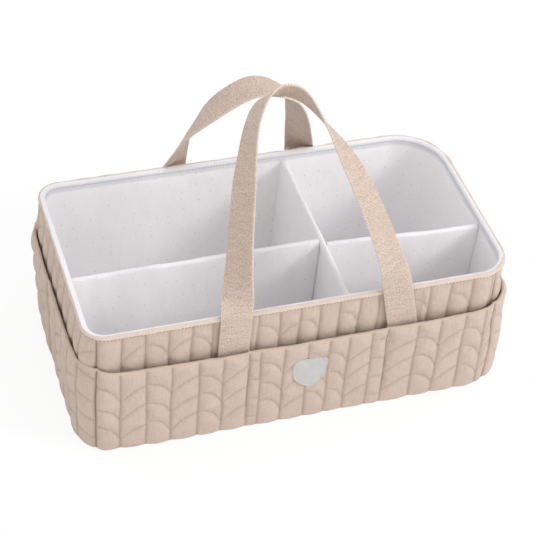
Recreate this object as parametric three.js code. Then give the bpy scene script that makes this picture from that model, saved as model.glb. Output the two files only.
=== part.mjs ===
import * as THREE from "three";
import { toCreasedNormals } from "three/addons/utils/BufferGeometryUtils.js";

// A quilted cotton storage caddy with an outside pocket band, a divided inside and two webbing handles.
// Lengths are in millimetres, +Z is up, and the origin is the middle of the underside.

// Body
const rimLength = 400;
const rimWidth = 208;
const bodyHeight = 139;
const squareness = 8; // exponent of the rounded outline, squarer when larger
const seamGap = 0.3; // between pieces that touch
const panelGap = 0.5; // between the ends of two panels at a corner seam

// Layers of a wall, from the outside
const bindingThickness = 1;
const coverThickness = 2;
const boardThickness = 1.2;
const liningThickness = 0.8;

// Rim binding
const bindingOuterDepth = 6;
const bindingInnerDepth = 5;
const bindingInnerThickness = 0.6;

// Base
const baseCoverThickness = 1.6;
const baseBoardThickness = 2.4;
const floorPadThickness = 2.4;

// Pocket band
const pocketHeight = 101.5;
const pocketThickness = 2.4;
const pocketRoom = 8; // clear space between the band and the wall behind it
const pocketFootThickness = 2;
const pocketSeamWidth = 1.6;
const pocketSeamEase = 1.6; // over which the band draws in to a dividing seam
const endSeamPlace = 15; // of the dividing seam on each end wall, from the middle towards the rear

// Patch, blank, on the front pocket
const patchWidth = 33;
const patchThickness = 1;
const patchMiddleX = 4;
const patchTopZ = 79;
const patchTilt = -6; // degrees, with its right side lower
const patchOutlineShares = [
  [-0.5, -0.06], [-0.44, 0], [0.44, 0], [0.5, -0.06], [0.5, -0.62], [0.44, -0.76], [0.1, -1.1], [0, -1.14],
  [-0.1, -1.1], [-0.44, -0.76], [-0.5, -0.62],
];

// Handles
const strapWidth = 29;
const strapThickness = 2.4;
const strapFootZ = 40; // lower end of the sewn length, behind the pocket band
const strapJogHeight = 4; // over which the sewn length steps out past the rim binding
const frontHandle = {
  name: "front",
  side: -1,
  span: 151.4,
  shift: 6.1,
  leftFootSlip: 0,
  rightFootSlip: 22.8,
  rise: 168.8,
  reach: 90,
  acrossShares: [-1, -0.88, -0.745, -0.537, -0.156, 0.247, 0.515, 0.764, 1],
  reachShares: [0, 0.356, 0.7, 0.997, 1, 0.694, 0.28, 0.005, 0],
  riseShares: [0, 0.318, 0.638, 0.924, 1, 0.844, 0.602, 0.325, 0],
  turns: [0, 17, 24, 42, 81, 78, 58, 29, 0],
  facing: -1, // the outer face turns in towards the loop
};
const rearHandle = {
  name: "rear",
  side: 1,
  span: 130.5,
  shift: -5.25,
  leftFootSlip: 0,
  rightFootSlip: 0,
  rise: 121.7,
  reach: 55.5,
  acrossShares: [-1, -1.084, -1.115, -0.732, -0.088, 0.51, 0.785, 0.908, 1],
  reachShares: [0, 0.57, 0.95, 0.95, 0.95, 1, 0.57, 0.08, 0],
  riseShares: [0, 0.236, 0.532, 0.803, 1, 0.877, 0.638, 0.359, 0],
  turns: [0, 27, 42, 72, 92, 62, 42, 30, 0],
  facing: 1, // the outer face turns up
};

// Dividers
const dividerTopDrop = 7; // below the rim
const sleeveThickness = 1.2;
const dividerBoardThickness = 2;
const crossDividerX = 39.8;
const leftDividerY = -19;
const rightDividerY = -24.5; // where it meets the cross divider
const rightDividerSwing = 3; // degrees by which its far end lies nearer the front
const tapeThickness = 1.2;
const loopTapeWidth = 9;
const tapeEndInset = 8; // of a tape's ends from the divider's top and bottom

// Smoothness
const outlineSpacing = 30;
const outlineTurn = 6; // degrees
const fineSteps = 1440;
const halvings = 40;
const stepsPerStretch = 7;

// Sizes that follow
const halfLength = rimLength / 2;
const halfWidth = rimWidth / 2;
const coverInset = bindingThickness + seamGap;
const boardInset = coverInset + coverThickness + seamGap;
const liningInset = boardInset + boardThickness + seamGap;
const wallInset = liningInset + liningThickness;
const wallTopZ = bodyHeight - bindingThickness - seamGap;
const wallFootZ = baseCoverThickness + seamGap;
const liningFootZ = wallFootZ + baseBoardThickness + seamGap;
const floorTopZ = liningFootZ + floorPadThickness;

const cloth = (color) => new THREE.MeshStandardMaterial({ color, roughness: 0.95, metalness: 0 });

const caddy = new THREE.Group();

function addPiece(name, geometry, material) {
  const piece = new THREE.Mesh(geometry, material);
  piece.name = name;
  caddy.add(piece);
}

const quilted = (name, geometry) => addPiece(name, geometry, cloth(0xcdb9aa));
const webbed = (name, geometry) => addPiece(name, geometry, cloth(0xd3bdab));
const lined = (name, geometry) => addPiece(name, geometry, cloth(0xe9e6e6));
const boarded = (name, geometry) => addPiece(name, geometry, cloth(0xb8b0a4));
const taped = (name, geometry) => addPiece(name, geometry, cloth(0xf0efed));

// The point of the body's outline that lies in a direction from the middle.
function rimPoint(angle) {
  const alongX = Math.abs(Math.cos(angle) / halfLength) ** squareness;
  const alongY = Math.abs(Math.sin(angle) / halfWidth) ** squareness;
  const reach = (alongX + alongY) ** (-1 / squareness);
  return new THREE.Vector2(Math.cos(angle), Math.sin(angle)).multiplyScalar(reach);
}

// The direction straight out of the outline there.
function rimNormal(angle) {
  const { x, y } = rimPoint(angle);
  const slope = (part, half) => (Math.sign(part) * Math.abs(part / half) ** (squareness - 1)) / half;
  return new THREE.Vector2(slope(x, halfLength), slope(y, halfWidth)).normalize();
}

// The point straight in from there that lies on the outline of a layer, itself inset on every side.
function layerPoint(angle, inset) {
  const start = rimPoint(angle);
  const out = rimNormal(angle);
  let near = -2 * Math.abs(inset);
  let far = 2 * Math.abs(inset);
  for (let i = 0; i < halvings; i++) {
    const place = start.clone().addScaledVector(out, (near + far) / 2);
    const alongX = Math.abs(place.x / (halfLength - inset)) ** squareness;
    const alongY = Math.abs(place.y / (halfWidth - inset)) ** squareness;
    if (alongX + alongY > 1) far = (near + far) / 2;
    else near = (near + far) / 2;
  }
  return start.addScaledVector(out, (near + far) / 2);
}

// Directions between two, closer together where the outline turns.
function spacedAngles(from, to) {
  const fine = Array.from({ length: fineSteps + 1 }, (_, i) => from + ((to - from) * i) / fineSteps);
  const turnStep = THREE.MathUtils.degToRad(outlineTurn);
  const runs = [0];
  for (let i = 1; i <= fineSteps; i++) {
    const length = rimPoint(fine[i]).distanceTo(rimPoint(fine[i - 1])) / outlineSpacing;
    const turn = Math.abs(rimNormal(fine[i]).cross(rimNormal(fine[i - 1]))) / turnStep;
    runs.push(runs[i - 1] + length + turn);
  }
  const count = Math.ceil(runs[fineSteps]);
  const angles = [from];
  for (let k = 1, i = 1; k < count; k++) {
    const target = (runs[fineSteps] * k) / count;
    while (runs[i] < target) i++;
    angles.push(THREE.MathUtils.mapLinear(target, runs[i - 1], runs[i], fine[i - 1], fine[i]));
  }
  return [...angles, to];
}

// The triangles that fill a contour, wound as the contour is.
function fillContour(contour) {
  const turn = Math.sign(THREE.ShapeUtils.area(contour));
  return THREE.ShapeUtils.triangulateShape(contour, []).map(([a, b, c]) => {
    const sameWay = Math.sign(THREE.ShapeUtils.area([contour[a], contour[b], contour[c]])) === turn;
    return sameWay ? [a, b, c] : [a, c, b];
  });
}

// A closed body through rings of points, capped at both ends unless it closes on itself.
function ringSolid(rings, contour, closed) {
  const size = contour.length;
  const points = rings.flat();
  const places = new Map();
  const merged = points.map((point, i) => {
    const key = point.toArray().map((part) => part.toFixed(6)).join();
    if (!places.has(key)) places.set(key, i);
    return places.get(key);
  });
  const faces = [];
  const runs = closed ? rings.length : rings.length - 1;
  for (let i = 0; i < runs; i++) {
    const here = i * size;
    const there = ((i + 1) % rings.length) * size;
    for (let j = 0; j < size; j++) {
      const k = (j + 1) % size;
      faces.push([here + j, here + k, there + j], [here + k, there + k, there + j]);
    }
  }
  if (!closed) {
    const end = runs * size;
    for (const [a, b, c] of fillContour(contour)) faces.push([a, c, b], [end + a, end + b, end + c]);
  }
  const whole = faces
    .map((face) => face.map((i) => merged[i]))
    .filter(([a, b, c]) => a !== b && b !== c && c !== a);
  const volume = whole.reduce((sum, [a, b, c]) => sum + points[a].dot(points[b].clone().cross(points[c])), 0);
  const outward = volume > 0 ? whole : whole.map(([a, b, c]) => [a, c, b]);
  const geometry = new THREE.BufferGeometry().setFromPoints(outward.flat().map((i) => points[i]));
  return toCreasedNormals(geometry);
}

// A profile of [inset, height] points carried along the body's outline.
function wallSolid(profile, angles, closed = false) {
  const contour = profile.map(([inset, z]) => new THREE.Vector2(-inset, z));
  const rings = angles.map((angle) => profile.map(([inset, z]) => {
    const place = layerPoint(angle, inset);
    return new THREE.Vector3(place.x, place.y, z);
  }));
  return ringSolid(rings, contour, closed);
}

const slab = (inset, thickness, footZ, topZ) => [
  [inset, footZ],
  [inset, topZ],
  [inset + thickness, topZ],
  [inset + thickness, footZ],
];

// The four walls, each from corner seam to corner seam.
const cornerAngle = Math.atan2(halfWidth, halfLength);
const halfSeam = panelGap / 2 / Math.hypot(halfLength, halfWidth);
const walls = [
  { name: "right", long: false, side: 1, from: -cornerAngle, to: cornerAngle },
  { name: "rear", long: true, side: 1, from: cornerAngle, to: Math.PI - cornerAngle },
  { name: "left", long: false, side: -1, from: Math.PI - cornerAngle, to: Math.PI + cornerAngle },
  { name: "front", long: true, side: -1, from: Math.PI + cornerAngle, to: 2 * Math.PI - cornerAngle },
];

for (const wall of walls) {
  wall.angles = spacedAngles(wall.from + halfSeam, wall.to - halfSeam);
  const cover = slab(coverInset, coverThickness, wallFootZ, wallTopZ);
  const board = slab(boardInset, boardThickness, liningFootZ, wallTopZ);
  const lining = slab(liningInset, liningThickness, liningFootZ, wallTopZ);
  quilted(`shell_${wall.name}`, wallSolid(cover, wall.angles));
  boarded(`wall_board_${wall.name}`, wallSolid(board, wall.angles));
  lined(`lining_${wall.name}`, wallSolid(lining, wall.angles));
}

// The binding folds over the tops of the walls.
const allAngles = spacedAngles(0, 2 * Math.PI).slice(1);
const bindingInset = wallInset + seamGap;
const bindingProfile = [
  [0, bodyHeight - bindingOuterDepth],
  [0, bodyHeight],
  [bindingInset + bindingInnerThickness, bodyHeight],
  [bindingInset + bindingInnerThickness, bodyHeight - bindingInnerDepth],
  [bindingInset, bodyHeight - bindingInnerDepth],
  [bindingInset, bodyHeight - bindingThickness],
  [bindingThickness, bodyHeight - bindingThickness],
  [bindingThickness, bodyHeight - bindingOuterDepth],
];
quilted("rim_binding", wallSolid(bindingProfile, allAngles, true));

// A flat piece of the body's outline, filled from its middle.
function plate(inset, bottomZ, thickness) {
  const scale = new THREE.Vector3(1 - inset / halfLength, 1 - inset / halfWidth, 1);
  const topZ = bottomZ + thickness;
  const rings = allAngles.map((angle) => {
    const { x, y } = rimPoint(angle);
    const edge = new THREE.Vector3(x, y, 0).multiply(scale);
    const up = (place, z) => place.clone().setZ(z);
    const middle = new THREE.Vector3();
    return [up(middle, bottomZ), up(edge, bottomZ), up(edge, topZ), up(middle, topZ)];
  });
  return ringSolid(rings, rings[0], true);
}
quilted("base_cover", plate(coverInset, 0, baseCoverThickness));
boarded("base_board", plate(boardInset, wallFootZ, baseBoardThickness));
lined("lining_floor", plate(bindingInset, liningFootZ, floorPadThickness));

// The direction of a place on a wall, given by its x on a long wall and by its y on an end wall.
function placeAngle(wall, along) {
  const [half, other] = wall.long ? [halfLength, halfWidth] : [halfWidth, halfLength];
  const across = wall.side * other * (1 - Math.abs(along / half) ** squareness) ** (1 / squareness);
  const angle = wall.long ? Math.atan2(across, along) : Math.atan2(along, across);
  return angle < wall.from ? angle + 2 * Math.PI : angle;
}

// The middle of a handle's sewn length at a height; it leans from its foot to the rim.
function legX(handle, end, z) {
  const slip = end < 0 ? handle.leftFootSlip : handle.rightFootSlip;
  return handle.shift + (end * handle.span) / 2 + (slip * (bodyHeight - z)) / (bodyHeight - strapFootZ);
}

// The pocket band's dividing seams lie just inside the handles' legs, and near the middle of each end.
function seamsOf(wall) {
  if (!wall.long) return [endSeamPlace];
  const handle = wall.side < 0 ? frontHandle : rearHandle;
  const clear = strapWidth / 2 + seamGap + pocketSeamEase + pocketSeamWidth / 2;
  return [-1, 1].map((end) => {
    const nearest = Math.min(end * legX(handle, end, strapFootZ), end * legX(handle, end, pocketHeight));
    return end * (nearest - clear);
  });
}

// The band stands off the wall, and comes in to it at its foot and at each dividing seam.
function pocketBand(wall) {
  const wallFace = coverInset - seamGap;
  const innerFace = coverInset - pocketRoom;
  const outerFace = innerFace - pocketThickness;
  const profile = (seamInset) => [
    [outerFace, 0],
    [outerFace, pocketHeight],
    [seamInset, pocketHeight],
    [seamInset, pocketFootThickness],
    [wallFace, pocketFootThickness],
    [wallFace, 0],
  ];
  let stations = wall.angles.map((angle) => ({ angle, inset: innerFace }));
  for (const seam of seamsOf(wall)) {
    const reach = pocketSeamWidth / 2 + pocketSeamEase;
    const sharp = [
      { angle: placeAngle(wall, seam - reach), inset: innerFace },
      { angle: placeAngle(wall, seam - pocketSeamWidth / 2), inset: wallFace },
      { angle: placeAngle(wall, seam + pocketSeamWidth / 2), inset: wallFace },
      { angle: placeAngle(wall, seam + reach), inset: innerFace },
    ].sort((a, b) => a.angle - b.angle);
    stations = stations.filter(({ angle }) => angle < sharp[0].angle || angle > sharp[3].angle);
    stations = [...stations, ...sharp].sort((a, b) => a.angle - b.angle);
  }
  const rings = stations.map(({ angle, inset }) => profile(inset).map(([depth, z]) => {
    const place = layerPoint(angle, depth);
    return new THREE.Vector3(place.x, place.y, z);
  }));
  return ringSolid(rings, profile(innerFace).map(([inset, z]) => new THREE.Vector2(-inset, z)), false);
}
for (const wall of walls) quilted(`pocket_${wall.name}`, pocketBand(wall));

// The patch lies flat on the front pocket.
function patch() {
  const turn = THREE.MathUtils.degToRad(patchTilt);
  const middle = new THREE.Vector2();
  const outline = patchOutlineShares.map(([x, z]) => {
    return new THREE.Vector2(x, z).multiplyScalar(patchWidth).rotateAround(middle, turn);
  });
  const geometry = new THREE.ExtrudeGeometry(new THREE.Shape(outline), { depth: patchThickness, bevelEnabled: false });
  geometry.rotateX(Math.PI / 2);
  const backY = coverInset - pocketRoom - pocketThickness - halfWidth - seamGap;
  return geometry.translate(patchMiddleX, backY, patchTopZ);
}
addPiece("label_patch", patch(), cloth(0xcdd2d5));

// A strap's sewn length lies on the wall and steps out over the rim binding.
function handleEnd(handle, end) {
  const lowY = halfWidth - coverInset + seamGap;
  const highY = halfWidth + seamGap;
  const jogTop = bodyHeight - bindingOuterDepth - seamGap;
  const path = [[lowY, strapFootZ], [lowY, jogTop - strapJogHeight], [highY, jogTop], [highY, bodyHeight]];
  const contour = [[-1, 0], [1, 0], [1, 1], [-1, 1]].map(([x, y]) => new THREE.Vector2(x, y));
  const rings = path.map(([innerY, z]) => contour.map(({ x, y }) => new THREE.Vector3(
    legX(handle, end, z) + (x * strapWidth) / 2,
    handle.side * (innerY + y * strapThickness),
    z,
  )));
  return ringSolid(rings, contour, false);
}

// A handle's free loop is a flat strap that twists as it goes, and is level where it meets its sewn ends.
function handleLoop(handle) {
  const startY = halfWidth + seamGap + strapThickness / 2;
  const startZ = bodyHeight + seamGap;
  const smooth = (points) => new THREE.CatmullRomCurve3(points, false, "catmullrom");
  const route = smooth(handle.acrossShares.map((across, i) => new THREE.Vector3(
    handle.shift + (across * handle.span) / 2,
    handle.side * (startY - handle.reach * handle.reachShares[i]),
    startZ + handle.rise * handle.riseShares[i],
  )));
  const turning = smooth(handle.turns.map((turn) => new THREE.Vector3(turn, 0, 0)));
  const stretches = handle.turns.length - 1;
  const steps = stretches * stepsPerStretch;
  const contour = [[-1, -1], [1, -1], [1, 1], [-1, 1]].map(([x, y]) => new THREE.Vector2(x, y));
  const rings = Array.from({ length: steps + 1 }, (_, i) => {
    const along = i / steps;
    const middle = route.getPoint(along);
    const run = route.getTangent(along);
    const outside = new THREE.Vector3(0, handle.side, 0).projectOnPlane(run).normalize();
    const upper = run.clone().cross(new THREE.Vector3(0, 1, 0)).normalize();
    upper.projectOnPlane(outside).normalize().multiplyScalar(-handle.facing);
    const turn = THREE.MathUtils.degToRad(turning.getPoint(along).x);
    const face = outside.multiplyScalar(Math.cos(turn)).addScaledVector(upper, -Math.sin(turn));
    const edge = run.clone().cross(face).normalize();
    const fromEnd = Math.min(along, 1 - along) * stretches;
    const level = 1 - THREE.MathUtils.smoothstep(fromEnd, 0, 1);
    edge.lerp(new THREE.Vector3(-handle.side * Math.sign(run.z), 0, 0), level).normalize();
    face.lerp(new THREE.Vector3(0, handle.side, 0), level).normalize();
    return contour.map(({ x, y }) => {
      const offset = edge.clone().multiplyScalar((x * strapWidth) / 2);
      return offset.addScaledVector(face, (y * strapThickness) / 2).add(middle);
    });
  });
  return ringSolid(rings, contour, false);
}

for (const handle of [frontHandle, rearHandle]) {
  webbed(`handle_${handle.name}`, handleLoop(handle));
  webbed(`handle_end_${handle.name}_left`, handleEnd(handle, -1));
  webbed(`handle_end_${handle.name}_right`, handleEnd(handle, 1));
}

// Dividers: each a sleeve around a board. The cross divider is sewn in, and the long ones hold by their tapes.
const dividerFootZ = floorTopZ + seamGap;
const dividerTopZ = bodyHeight - dividerTopDrop;
const dividerThickness = dividerBoardThickness + 2 * (seamGap + sleeveThickness);
const tapeStack = 2 * (seamGap + tapeThickness) + seamGap; // from a face to the end of a divider held on it
const tapeFootZ = dividerFootZ + tapeEndInset;
const tapeHeight = dividerTopZ - tapeEndInset - tapeFootZ;
const tapeLift = seamGap + tapeThickness / 2; // of a loop tape's middle off the face it is sewn to
const hookLift = tapeLift + seamGap + tapeThickness; // of a hook tape's middle off that face

function box(length, width, height, x, y, bottomZ) {
  return new THREE.BoxGeometry(length, width, height).translate(x, y, bottomZ + height / 2);
}

// A divider's sleeve and board along X, from one place to another.
function dividerPieces(name, fromX, toX, place) {
  const height = dividerTopZ - dividerFootZ;
  const length = toX - fromX;
  const outer = [[-1, 0], [1, 0], [1, 1], [-1, 1]];
  const sleeve = new THREE.Shape(outer.map(([u, v]) => new THREE.Vector2((u * dividerThickness) / 2, v * height)));
  const hole = outer.map(([u, v]) => new THREE.Vector2(
    u * (dividerBoardThickness / 2 + seamGap),
    v > 0 ? height - sleeveThickness : sleeveThickness,
  ));
  sleeve.holes.push(new THREE.Path(hole));
  const tube = new THREE.ExtrudeGeometry(sleeve, { depth: length, bevelEnabled: false });
  tube.rotateX(Math.PI / 2).rotateZ(Math.PI / 2).translate(fromX, 0, dividerFootZ);
  const boardHeight = height - 2 * (sleeveThickness + seamGap);
  const boardFootZ = dividerFootZ + sleeveThickness + seamGap;
  const board = box(length, dividerBoardThickness, boardHeight, fromX + length / 2, 0, boardFootZ);
  lined(`${name}_cover`, place(tube));
  boarded(`${name}_board`, place(board));
}

const wallX = halfLength - wallInset;
const wallY = halfWidth - wallInset;
const crossHalf = dividerThickness / 2;
const acrossBody = (geometry) => geometry.rotateZ(Math.PI / 2).translate(crossDividerX, 0, 0);
dividerPieces("cross_divider", seamGap - wallY, wallY - seamGap, acrossBody);

// A long divider from one face to another; slope moves it sideways as it goes. Its tapes fill the ends.
function longDivider(name, fromX, toX, startY, slope) {
  const slant = new THREE.Matrix4().makeShear(slope, 0, 0, 0, 0, 0);
  const sloped = (geometry) => geometry.applyMatrix4(slant).translate(0, startY - slope * fromX, 0);
  dividerPieces(`long_divider_${name}`, fromX + tapeStack, toX - tapeStack, sloped);
  const sides = [
    { end: "start", x: fromX, way: 1 },
    { end: "end", x: toX, way: -1 },
  ];
  for (const { end, x, way } of sides) {
    const hook = box(tapeThickness, dividerThickness, tapeHeight, x + way * hookLift, 0, tapeFootZ);
    taped(`hook_tape_${name}_${end}`, sloped(hook));
    const loopY = startY + slope * (x - fromX);
    taped(`loop_tape_${name}_${end}`, box(tapeThickness, loopTapeWidth, tapeHeight, x + way * tapeLift, loopY, tapeFootZ));
  }
}
const rightSlope = -Math.tan(THREE.MathUtils.degToRad(rightDividerSwing));
longDivider("left", -wallX, crossDividerX - crossHalf, leftDividerY, 0);
longDivider("right", crossDividerX + crossHalf, wallX, rightDividerY, rightSlope);

export default caddy;
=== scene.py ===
import math

import bpy
import numpy as np
from mathutils import Matrix, Vector
from mathutils.geometry import delaunay_2d_cdt
from mathutils.kdtree import KDTree


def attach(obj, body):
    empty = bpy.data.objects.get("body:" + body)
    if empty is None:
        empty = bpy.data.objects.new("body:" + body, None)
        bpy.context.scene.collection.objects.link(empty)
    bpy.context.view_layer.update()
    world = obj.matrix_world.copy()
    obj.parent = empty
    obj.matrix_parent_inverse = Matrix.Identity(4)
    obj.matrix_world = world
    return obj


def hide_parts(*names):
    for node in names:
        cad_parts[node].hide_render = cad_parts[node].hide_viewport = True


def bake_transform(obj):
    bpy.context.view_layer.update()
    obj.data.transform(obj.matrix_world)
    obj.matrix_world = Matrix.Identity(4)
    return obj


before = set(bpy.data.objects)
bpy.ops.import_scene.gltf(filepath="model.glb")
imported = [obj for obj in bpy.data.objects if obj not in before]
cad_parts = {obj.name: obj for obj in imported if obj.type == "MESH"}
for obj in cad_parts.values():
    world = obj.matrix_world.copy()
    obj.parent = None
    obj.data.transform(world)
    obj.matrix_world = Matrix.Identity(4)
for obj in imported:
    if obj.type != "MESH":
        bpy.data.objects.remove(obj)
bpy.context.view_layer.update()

scene = bpy.context.scene
mm = 0.001
sides = ("front", "right", "rear", "left")

# the body's outline, shared by everything that goes round it

body = {"left": 0.2035, "right": 0.1985, "width": 0.208, "height": 0.139,
        "radii": (0.032, 0.050, 0.021, 0.021)}  # front right, rear right, rear left, front left


class Outline:
    # the outline of a layer: straight sides and round corners; runs go anticlockwise from mid front
    def __init__(self, inset, seamTurn=30, radii=body["radii"]):
        half = body["width"] / 2
        corners = [(body["right"], -half, -90), (body["right"], half, 0), (-body["left"], half, 90),
                   (-body["left"], -half, 180)]
        places, outs = [[(0, inset - half)]], [[(0, -1)]]
        for (x, y, start), radius in zip(corners, radii):
            turn = np.radians(np.linspace(start, start + 90, 181))
            out = np.stack([np.cos(turn), np.sin(turn)], 1)
            centre = np.array([x - math.copysign(radius, x), y - math.copysign(radius, y)])
            places.append(centre + out * (radius - inset))
            outs.append(out)
        self.place = np.concatenate(places + [[(0, inset - half)]])
        self.out = np.concatenate(outs + [[(0, -1)]])
        steps = np.linalg.norm(np.diff(self.place, axis=0), axis=1)
        self.run = np.concatenate([[0], np.cumsum(steps)])
        self.length = self.run[-1]
        steps = (2 * seamTurn, 180 - 2 * seamTurn, 2 * seamTurn, 180 - 2 * seamTurn)
        self.seams = [self.run[1 + 181 * k + round(step)] for k, step in enumerate(steps)]

    def at(self, run):
        run = np.mod(run, self.length)
        place = np.stack([np.interp(run, self.run, self.place[:, k]) for k in (0, 1)], -1)
        out = np.stack([np.interp(run, self.run, self.out[:, k]) for k in (0, 1)], -1)
        return place, out / np.linalg.norm(out, axis=-1)[..., None]

    def span(self, side):
        a, b, c, d = self.seams
        return {"front": (d - self.length, a), "right": (a, b), "rear": (b, c), "left": (c, d)}[side]

    def runOf(self, side, along):
        # the run of a place on a side, given by its x on the long sides and its y on the ends
        axis = 0 if side in ("front", "rear") else 1
        way = -1 if side in ("front", "left") else 1
        chosen = self.place[:, 1 - axis] * way > 0
        spots, run = self.place[chosen, axis], self.run[chosen]
        if side == "front":
            run = np.where(run > self.length / 2, run - self.length, run)
        order = np.argsort(spots)
        return np.interp(along, spots[order], run[order])

    def reach(self, angle):
        # how far from the middle the outline lies in a direction
        place = self.at(np.linspace(0, self.length, 2400, endpoint=False))[0]
        angles = np.arctan2(place[:, 1], place[:, 0])
        return np.interp(angle, angles, np.linalg.norm(place, axis=1), period=2 * np.pi)


def smooth(value, low, high):
    share = np.clip((value - low) / (high - low), 0, 1)
    return share * share * (3 - 2 * share)


def ripples(a, b, seed, lengthA, lengthB, count=14):
    # soft irregular waves between about -1 and 1, the same on every run
    dice = np.random.default_rng(seed)
    total = np.zeros(np.broadcast(a, b).shape)
    for _ in range(count):
        angle = dice.uniform(0, np.pi)
        scale = dice.uniform(0.7, 1.5)
        total += np.cos(2 * np.pi * scale * (math.cos(angle) * a / lengthA + math.sin(angle) * b / lengthB)
                        + dice.uniform(0, 2 * np.pi))
    return total / math.sqrt(count / 2) / 1.6


# materials: maths on sockets is written as expressions

class Wire:
    def __init__(self, finish, socket):
        self.finish, self.socket = finish, socket

    def __add__(self, other):
        return self.finish.math("ADD", self, other)

    def __radd__(self, other):
        return self.finish.math("ADD", other, self)

    def __sub__(self, other):
        return self.finish.math("SUBTRACT", self, other)

    def __rsub__(self, other):
        return self.finish.math("SUBTRACT", other, self)

    def __mul__(self, other):
        return self.finish.math("MULTIPLY", self, other)

    def __rmul__(self, other):
        return self.finish.math("MULTIPLY", other, self)

    def __truediv__(self, other):
        return self.finish.math("DIVIDE", self, other)

    def sine(self):
        return self.finish.math("SINE", self)

    def size(self):
        return self.finish.math("ABSOLUTE", self)

    def rest(self):
        return self.finish.math("FRACT", self)

    def above(self, other):
        return self.finish.math("GREATER_THAN", self, other)

    def ramp(self, low, high):
        return self.finish.node("ShaderNodeMapRange", {"interpolation_type": "SMOOTHSTEP"},
                                {"Value": self, "From Min": low, "From Max": high})


def tint(red, green, blue):
    def straight(value):
        value /= 255
        return value / 12.92 if value <= 0.04045 else ((value + 0.055) / 1.055) ** 2.4
    return (straight(red), straight(green), straight(blue), 1)


class Finish:
    def __init__(self, name, **sockets):
        self.material = bpy.data.materials.new(name)
        self.material.use_nodes = True
        self.tree = self.material.node_tree
        self.shader = self.tree.nodes["Principled BSDF"]
        for socket, value in sockets.items():
            self.put(self.shader.inputs[socket.replace("_", " ")], value)

    def put(self, socket, value):
        if isinstance(value, Wire):
            self.tree.links.new(value.socket, socket)
        else:
            socket.default_value = value

    def node(self, kind, settings=None, sockets=None, output=0):
        node = self.tree.nodes.new(kind)
        for key, value in (settings or {}).items():
            setattr(node, key, value)
        for key, value in (sockets or {}).items():
            self.put(node.inputs[key], value)
        return Wire(self, node.outputs[output])

    def math(self, operation, *values):
        return self.node("ShaderNodeMath", {"operation": operation}, dict(enumerate(values)))

    def mixed(self, share, first, second, way="MIX"):
        settings = {"data_type": "RGBA", "blend_type": way}
        return self.node("ShaderNodeMix", settings, {0: share, 6: first, 7: second}, 2)

    def stretched(self, vector, x, y, z=1):
        return self.node("ShaderNodeVectorMath", {"operation": "MULTIPLY"}, {0: vector, 1: (x, y, z)})

    def noise(self, vector, detail=2, roughness=0.5):
        sockets = {"Vector": vector, "Scale": 1, "Detail": detail, "Roughness": roughness}
        return self.node("ShaderNodeTexNoise", {"noise_dimensions": "3D"}, sockets)

    def cloth(self):
        # the cloth's own coordinates, in metres
        return self.node("ShaderNodeUVMap", {"uv_map": "cloth"})

    def object(self):
        return self.node("ShaderNodeTexCoord", None, None, 3)

    def attribute(self, name):
        return self.node("ShaderNodeAttribute", {"attribute_name": name}, None, 2)

    def cells(self, vector, randomness, output=0, dimensions="3D", scale=1):
        sockets = {"Vector": vector, "Scale": scale, "Randomness": randomness}
        return self.node("ShaderNodeTexVoronoi", {"voronoi_dimensions": dimensions}, sockets, output)

    def part(self, vector, axis):
        return self.node("ShaderNodeSeparateXYZ", None, {0: vector}, axis)

    def colour(self, value):
        self.put(self.shader.inputs["Base Color"], value)

    def rough(self, value):
        self.put(self.shader.inputs["Roughness"], value)

    def bump(self, height, distance, strength=1):
        normal = self.node("ShaderNodeBump", None, {"Height": height, "Distance": distance, "Strength": strength})
        self.put(self.shader.inputs["Normal"], normal)


def wovenLinen(finish, vector, thread, slub):
    # the height and the tone of a plain weave with uneven threads
    along = finish.stretched(vector, 2 * math.pi / thread, 2 * math.pi / thread)
    weave = finish.part(along, 0).sine() * finish.part(along, 1).sine()
    upright = finish.noise(finish.stretched(vector, 1 / slub, 0.09 / slub), 3, 0.6)
    level = finish.noise(finish.stretched(vector, 0.12 / slub, 1 / slub), 3, 0.6)
    return weave, upright - 0.5, level - 0.5


def quiltedCottonFinish():
    # the crease colour is painted shade for the sewn grooves and the folds beside them
    look = {"light": tint(223, 204, 190), "dark": tint(178, 154, 138), "creaseShade": tint(160, 132, 114),
            "thread": 0.0007, "slub": 0.0011, "stitch": 0.0032}
    finish = Finish("quiltedCotton", Roughness=0.9, Sheen_Weight=0.12, Sheen_Roughness=0.5)
    vector = finish.cloth()
    across, up = finish.part(vector, 0), finish.part(vector, 1)
    weave, upright, level = wovenLinen(finish, vector, look["thread"], look["slub"])
    mottle = finish.noise(finish.stretched(vector, 38, 30), 3, 0.55) - 0.5
    tone = 0.6 + weave * 0.05 + upright * 0.62 + level * 0.45 + mottle * 0.3
    colour = finish.mixed(tone, look["dark"], look["light"])
    # painted shade: the crease colour is mixed in along the sewn lines, in dashes, and in the folds beside them
    # where shade falls; the fold depth also sets the bump
    sewn, near = finish.attribute("sewn"), finish.attribute("fold").ramp(0, 1)
    gaps = ((across + up) * (2 * math.pi / look["stitch"])).sine().ramp(-0.9, 0.4)
    creaseShade = sewn.ramp(0.5, 1) * (0.12 + gaps * 0.12) + near * 0.42
    finish.colour(finish.mixed(creaseShade, colour, look["creaseShade"]))
    finish.rough(0.86 + upright * 0.12)
    finish.bump(weave * 0.3 + upright * 1.1 + level * 0.85 - near * 0.8, 0.00035)
    return finish.material


def bindingFinish():
    look = {"light": tint(238, 221, 210), "dark": tint(198, 176, 162)}
    finish = Finish("bindingCotton", Roughness=0.88, Sheen_Weight=0.12, Sheen_Roughness=0.5)
    weave, upright, level = wovenLinen(finish, finish.cloth(), 0.0007, 0.0011)
    tone = 0.6 + weave * 0.06 + upright * 0.6 + level * 0.5
    finish.colour(finish.mixed(tone, look["dark"], look["light"]))
    finish.bump(weave * 0.3 + upright + level, 0.0003)
    return finish.material


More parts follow.
